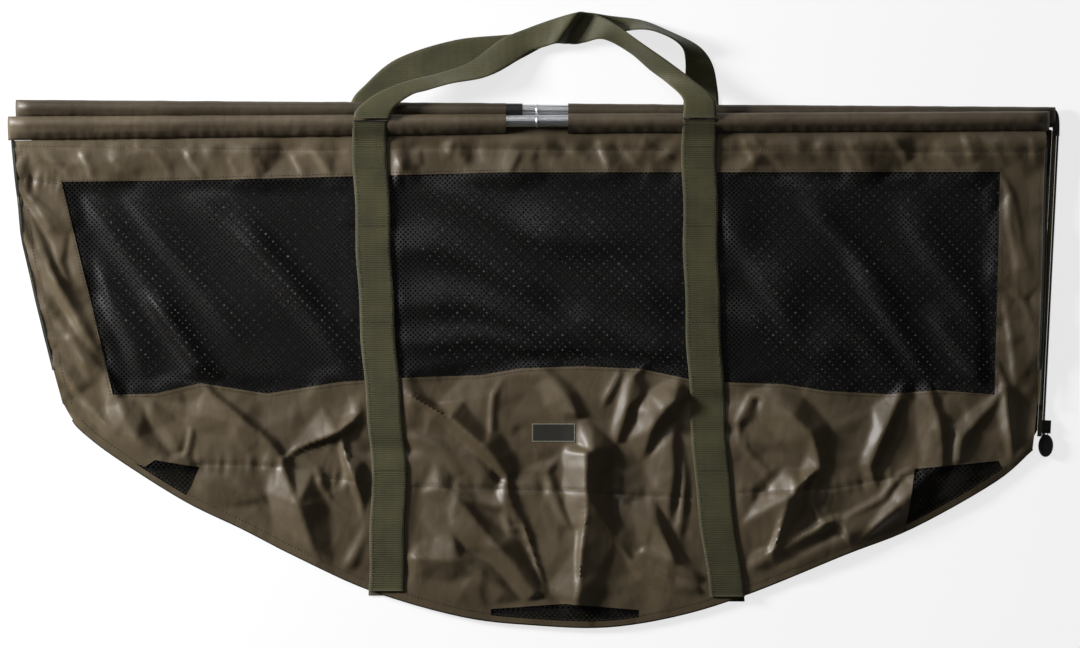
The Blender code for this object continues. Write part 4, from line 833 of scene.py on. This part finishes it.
FRONT_HANDLE = [
    (0.329, 0.962, 0.785, 0.363, 0.962, 0.785), (0.332, 0.979, 0.765, 0.368, 0.983, 0.765),
    (0.350, 1.008, 0.62, 0.384, 1.006, 0.66), (0.375, 1.030, 0.46, 0.399, 1.015, 0.66),
    (0.411, 1.049, 0.14, 0.422, 1.028, 0.70), (0.439, 1.070, 0.16, 0.454, 1.040, 0.56),
    (0.468, 1.112, 0.16, 0.481, 1.068, 0.30), (0.494, 1.134, 0.16, 0.497, 1.090, 0.20),
    (0.520, 1.152, 0.26, 0.510, 1.098, 0.26), (0.541, 1.163, 0.44, 0.521, 1.104, 0.36),
    (0.549, 1.164, 0.16, 0.531, 1.104, 0.14), (0.558, 1.160, 0.22, 0.547, 1.106, 0.16),
    (0.576, 1.142, 0.52, 0.566, 1.112, 0.34), (0.602, 1.104, 0.72, 0.591, 1.087, 0.20),
    (0.627, 1.070, 0.66, 0.610, 1.055, 0.14), (0.650, 1.036, 0.62, 0.627, 1.028, 0.44),
    (0.670, 1.000, 0.79, 0.641, 0.998, 0.79), (0.673, 0.963, 0.832, 0.641, 0.963, 0.832)]


def handle(name, table):
    """A webbing loop between its two edges, as it lies twisted on the floor."""
    rows = [share(u1, v1) + (0.0008 + h1 * HANDLE_ROOM,) + share(u2, v2) + (0.0008 + h2 * HANDLE_ROOM,)
            for u1, v1, h1, u2, v2, h2 in table]
    line = smooth_line(rows, 10)
    line[:, 2::3] = np.maximum(line[:, 2::3], 0.0009)
    band("handle_band_" + name, line[:, :3], line[:, 3:], 0.0017, name, handle_mat, (name,), "olive_webbing")


handle("rear_handle", REAR_HANDLE)
handle("front_handle", FRONT_HANDLE)


# Pole sleeves
def sleeve(node_name, pole, open_u, bore_u, end_u, tail, body):
    """A cloth sleeve pulled over half a pole: slack and rippled, with its sewn tail and a flat end."""
    us = np.linspace(open_u, end_u, 150)
    verts = []
    for u in us:
        x = (u - 0.5) * WIDTH
        y, z = (float(value) for value in pole(x))
        past = np.clip((u - bore_u) / (end_u - bore_u), 0, 1)
        flat = 0.5 * past * past
        reach = float(tail(x))
        # Round the pole, then slack down to the seam, then back under it
        ring = []
        for k in range(17):
            turn = math.radians(-90 + 221 * k / 16)
            # The skin lies 7.9 mm from the pole's middle, with slack of up to 0.8 mm
            slack = noise.noise((x * 34, turn * 1.3, 4.0)), noise.noise((x * 90, turn * 2, 8))
            radius = 0.0079 + 0.0006 * (0.5 + 0.5 * slack[0] + 0.3 * slack[1])
            ring.append((radius * math.cos(turn), radius * math.sin(turn)))
        ripple = 0.0006 * math.sin(x * 420 + 3 * math.sin(x * 37)) + 0.0006 * noise.noise((x * 60, 1, 1))
        crest_y, crest_z = ring[-1]
        for part in (0.25, 0.5, 0.75, 1.0):
            uneven = 1 + 0.6 * noise.noise((x * 26, part * 2, 6))
            sag = -0.0020 * (1.1 - u) * math.sin(math.pi * part) * uneven
            ring.append((crest_y + (-reach - crest_y) * part,
                         crest_z + (SEAM_DROP - crest_z) * part - sag + ripple * part))
        ring += [(-reach, -0.0075), (-reach * 0.7, -0.0078), (-reach * 0.4, -0.0080)]
        for dy, dz in ring:
            verts.append((x, y + dy, z + dz - (dz + 0.0081) * flat * (dz > -0.0050)))
    faces = tube_faces(len(us), len(ring))
    faces.append(tuple(range(len(verts) - len(ring), len(verts))))
    if open_u > end_u:
        faces = [f[::-1] for f in faces]
    # Rear sleeves wear the darker copy of the nylon, painted shade; front sleeves the lighter copy, painted
    # light
    finish = rear_sleeve_painted_shade_mat if node_name.startswith("rear") else sleeve_painted_light_mat
    new_object(node_name.replace("sleeve", "tunnel"), verts, faces, body, finish, (node_name,))


sleeve("front_sleeve_left", pole_front, SOCKET_LEFT, 0.021, 0.0, tail_front, FLAP)
sleeve("front_sleeve_right", pole_front, SOCKET_RIGHT, 0.973, 0.989, tail_front, FLAP)
sleeve("rear_sleeve_left", pole_rear, SOCKET_LEFT, 0.021, 0.007, tail_rear, BASE)
sleeve("rear_sleeve_right", pole_rear, SOCKET_RIGHT, 0.973, 0.996, tail_rear, BASE)


# Hem and edge binding, in the cloth's shade colour: painted shade
def tape_along(name, points, wide, thick, body, replaced=()):
    """A narrow folded tape sewn along a line of points in space."""
    points = np.asarray(points)
    run = np.gradient(points, axis=0)
    side = np.stack([-run[:, 1], run[:, 0], np.zeros(len(run))], 1)
    side /= np.linalg.norm(side, axis=1)[:, None]
    # Every tape takes the binding's painted shade colour
    band(name, points - side * wide / 2, points + side * wide / 2, thick, body, binding_painted_shade_mat, replaced,
         "coated_nylon")


hem_line = (belly_outer + belly_inner) / 2
hem_z = 0.0042 + 0.0003 * np.sin(np.arange(len(hem_line)) * 2.1)
tape_along("hem_tape", np.column_stack([hem_line, hem_z])[2:], 0.0072, 0.0044, BASE, ("bottom_hem",))
for key, side_line in (("left", left_side), ("right", right_side)):
    x, y = np.array(side_line[3:]).T
    tape_along("edge_tape_" + key, np.column_stack([x, y, front_height(x, y) - 0.0003]), 0.0034, 0.0022, FLAP)
# Round the right end of the rear sleeve: pixels of the photograph and height in metres
CORNER = ((1056.5, 136, 0.0050), (1056.5, 122, 0.0055), (1055, 114, 0.0060), (1051, 109.5, 0.0065))
corner = smooth_line([photo(px, py) + (z,) for px, py, z in CORNER], 6)
tape_along("corner_tape", corner, 0.0080, 0.0016, BASE)

# Label: a woven rim and the plain field on it
COLUMNS, ROWS = 15, 8
(x0, y0), (x1, y1) = (share(*p) for p in LABEL)
for name, grow, lift, finish, replaced in (("label_rim", 0.0, 0.0006, label_rim_mat, ("label_patch",)),
                                           ("label_field", -0.0013, 0.0007, label_mat, ())):
    gx, gy = (grid.ravel() for grid in np.meshgrid(np.linspace(x0 - grow, x1 + grow, COLUMNS + 1),
                                                   np.linspace(y0 - grow, y1 + grow, ROWS + 1)))
    verts = np.column_stack([gx, gy, front_height(gx, gy) + lift])
    starts = [r * (COLUMNS + 1) + c for r in range(ROWS) for c in range(COLUMNS)]
    faces = [(i, i + 1, i + COLUMNS + 2, i + COLUMNS + 1) for i in starts]
    patch_obj = new_object(name, verts, faces, BASE, finish, replaced)
    solidify(patch_obj, 0.0003)


# Stitching
def stitches(name, lines):
    """Rows of thread stitches 4 mm apart lying on the cloth, each a flat six-sided grain."""
    pitch, lift, half = 0.0040, 0.0003, 0.00035
    verts, faces = [], []
    for line in lines:
        line = np.asarray(line)
        steps = np.linalg.norm(np.diff(line, axis=0), axis=1)
        reach = np.concatenate([[0], np.cumsum(steps)])
        count = int(reach[-1] / pitch)
        for i in range(count):
            a = np.array([np.interp((i + 0.15) * pitch, reach, line[:, k]) for k in range(3)])
            b = np.array([np.interp((i + 0.80) * pitch, reach, line[:, k]) for k in range(3)])
            run = (b - a) / np.linalg.norm(b - a)
            side = np.cross((0, 0, 1), run) * half
            up = np.array((0, 0, lift))
            start = len(verts)
            verts += [a, a + (b - a) * 0.25 + side + up, a + (b - a) * 0.75 + side + up, b,
                      a + (b - a) * 0.75 - side + up, a + (b - a) * 0.25 - side + up]
            faces += [(start, start + 5, start + 4, start + 3, start + 2, start + 1)]
    bend_at_fold(new_object(name, verts, faces, None, stitch_mat, smooth=False))


def on_cloth(points):
    """Lay a line of floor points on the front cloth."""
    points = np.asarray(points, float)
    return np.column_stack([points, front_height(points[:, 0], points[:, 1]) + 0.0004])


def seam_points(px0, py0, px1, py1):
    """Floor points every 4 mm along a seam."""
    ends = [photo(px0, py0), photo(px1, py1)]
    return resample(ends, 0.004)[:int(1 + math.dist(*ends) / 0.004)]


window_rim = resample(grown(window, 0.003).tolist(), 0.004)
window_rim.append(window_rim[0])
seam_lines = [on_cloth(seam_points(*seam)) for seam in SEAMS]
edge_rows = [on_cloth([(x + inward, y) for x, y in side_line])
             for side_line, inward in ((left_side, 0.009), (right_side, -0.007))]
hem_rows = [on_cloth(offset(belly_outer, 0.0095)[4:-4])]
stitches("stitches_cloth", [on_cloth(window_rim)] + seam_lines + edge_rows + hem_rows)
# Two rows along each strap, and across it at these rows of the photograph
STRAP_ROWS = (226, 262, 322, 350, 147, 168, 470)
strap_rows = []
for side, (left, right) in strap_sides.items():
    for part in (0.09, 0.91):
        row = left + (right - left) * part
        row[:, 2] += 0.0010
        strap_rows.append(row)
    for py in STRAP_ROWS:
        y = photo(0, py)[1]
        a = [np.interp(y, left[:, 1], left[:, k]) for k in range(3)]
        b = [np.interp(y, right[:, 1], right[:, k]) for k in range(3)]
        row = np.linspace(a, b, 8)
        row[:, 2] += 0.0010
        strap_rows.append(row[1:-1])
stitches("stitches_straps", strap_rows)

# Finishes of the rigid pieces that stay as the part has them
looks = {"ferrule_socket": silver_mat, "ferrule_spigot": silver_mat, "ferrule_collar": plastic_mat,
         "plug": plastic_mat, "zip_tape": tape_mat, "zip_coil": coil_mat, "zip_slider": dark_metal_mat,
         "zip_pull": pull_mat, "zip_stop": dark_metal_mat, "pole_left": pole_mat, "pole_right": pole_mat}
for name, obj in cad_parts.items():
    for key, finish in looks.items():
        if key in name:
            slots = obj.data.materials
            if not len(slots):
                slots.append(finish)
            for index in range(len(slots)):
                slots[index] = finish
            break

# Floor: plain matt card. To the eye and in a gloss three quarters of it are plain white, and the rest carries
# the sling's shadow. Under the windows it is only lit, so that it shows dark through the nets
floor_mat, tree, shader, place = start_material("floor_look", Roughness=0.9)
grain = node(tree, "TexNoise", {"Scale": NOISE_MM / 330}, {"Vector": place})
tint = node(tree, "Mix", {"data_type": "RGBA", 6: linear("#F4F4F4"), 7: linear("#FAFAFA")}, {0: grain})
link(tree, shader, {"Base Color": tint.outputs[2]})
seen = tree.nodes.new("ShaderNodeLightPath")
by_eye = node(tree, "Math", {"operation": "MAXIMUM"},
              {0: seen.outputs["Is Camera Ray"], 1: seen.outputs["Is Glossy Ray"]})
spot = node(tree, "SeparateXYZ", links={"Vector": place})
# Between the slanting left border and the straight right one
lean = node(tree, "Math", {"operation": "MULTIPLY_ADD", 1: 0.247},
            {0: spot.outputs["Y"], 2: spot.outputs["X"]})
past_left = node(tree, "Math", {"operation": "GREATER_THAN", 1: -0.525}, {0: lean})
past_right = node(tree, "Math", {"operation": "LESS_THAN", 1: 0.55}, {0: spot.outputs["X"]})
reach_x = node(tree, "Math", {"operation": "MULTIPLY"}, {0: past_left, 1: past_right})
# Within 155 mm of the windows' middle line, which lies 35 mm behind the middle of the sling
reach_y = node(tree, "Math", {"operation": "COMPARE", 1: 0.035, 2: 0.155}, {0: spot.outputs["Y"]})
under = node(tree, "Math", {"operation": "MULTIPLY"}, {0: reach_x, 1: reach_y})
open_floor = node(tree, "Math", {"operation": "SUBTRACT", 0: 0.75}, {1: under})
open_floor.use_clamp = True
glow = node(tree, "Math", {"operation": "MULTIPLY"}, {0: by_eye, 1: open_floor})
white = node(tree, "Emission", {"Strength": 1.0})
both = node(tree, "MixShader", {}, {0: glow, 1: shader, 2: white})
link(tree, tree.nodes["Material Output"], {"Surface": both})
floor = new_object("floor", [(-4, -4, 0), (4, -4, 0), (4, 4, 0), (-4, 4, 0)], [(0, 1, 2, 3)], None, floor_mat)

# Light: a strong window low on the left, a wide soft light above and behind, and a dim white room
world = bpy.data.worlds.new("room")
bpy.context.scene.world = world
world.use_nodes = True
background = world.node_tree.nodes["Background"]
background.inputs["Color"].default_value = (1, 1, 1, 1)
background.inputs["Strength"].default_value = 0.05


def area_light(name, place, size, power):
    """A square studio light that shines at the middle of the sling."""
    light = bpy.data.lights.new(name, "AREA")
    light.size = size
    light.energy = power
    obj = bpy.data.objects.new(name, light)
    obj.location = place
    obj.rotation_euler = (-Vector(place)).to_track_quat("-Z", "Y").to_euler()
    bpy.context.scene.collection.objects.link(obj)


area_light("window", (-2.7, 0.8, 1.05), 0.6, 200)
area_light("ceiling", (-0.5, 2.6, 2.9), 1.4, 24)

# Camera: straight above with a long lens
camera_data = bpy.data.cameras.new("camera")
# The picture is 1.2343 m wide at 6 m, and the camera is that far above the upper cloth
SENSOR_MM, DISTANCE, VIEW_WIDE, CLOTH_HIGH = 36, 6.0, 1.2343, 0.01
camera_data.sensor_width = SENSOR_MM
camera_data.lens = SENSOR_MM * DISTANCE / VIEW_WIDE
camera = bpy.data.objects.new("camera", camera_data)
camera.location = photo(*PHOTO_MIDDLE) + (DISTANCE + CLOTH_HIGH,)
bpy.context.scene.collection.objects.link(camera)
bpy.context.scene.camera = camera
bpy.context.scene.view_settings.view_transform = "Standard"
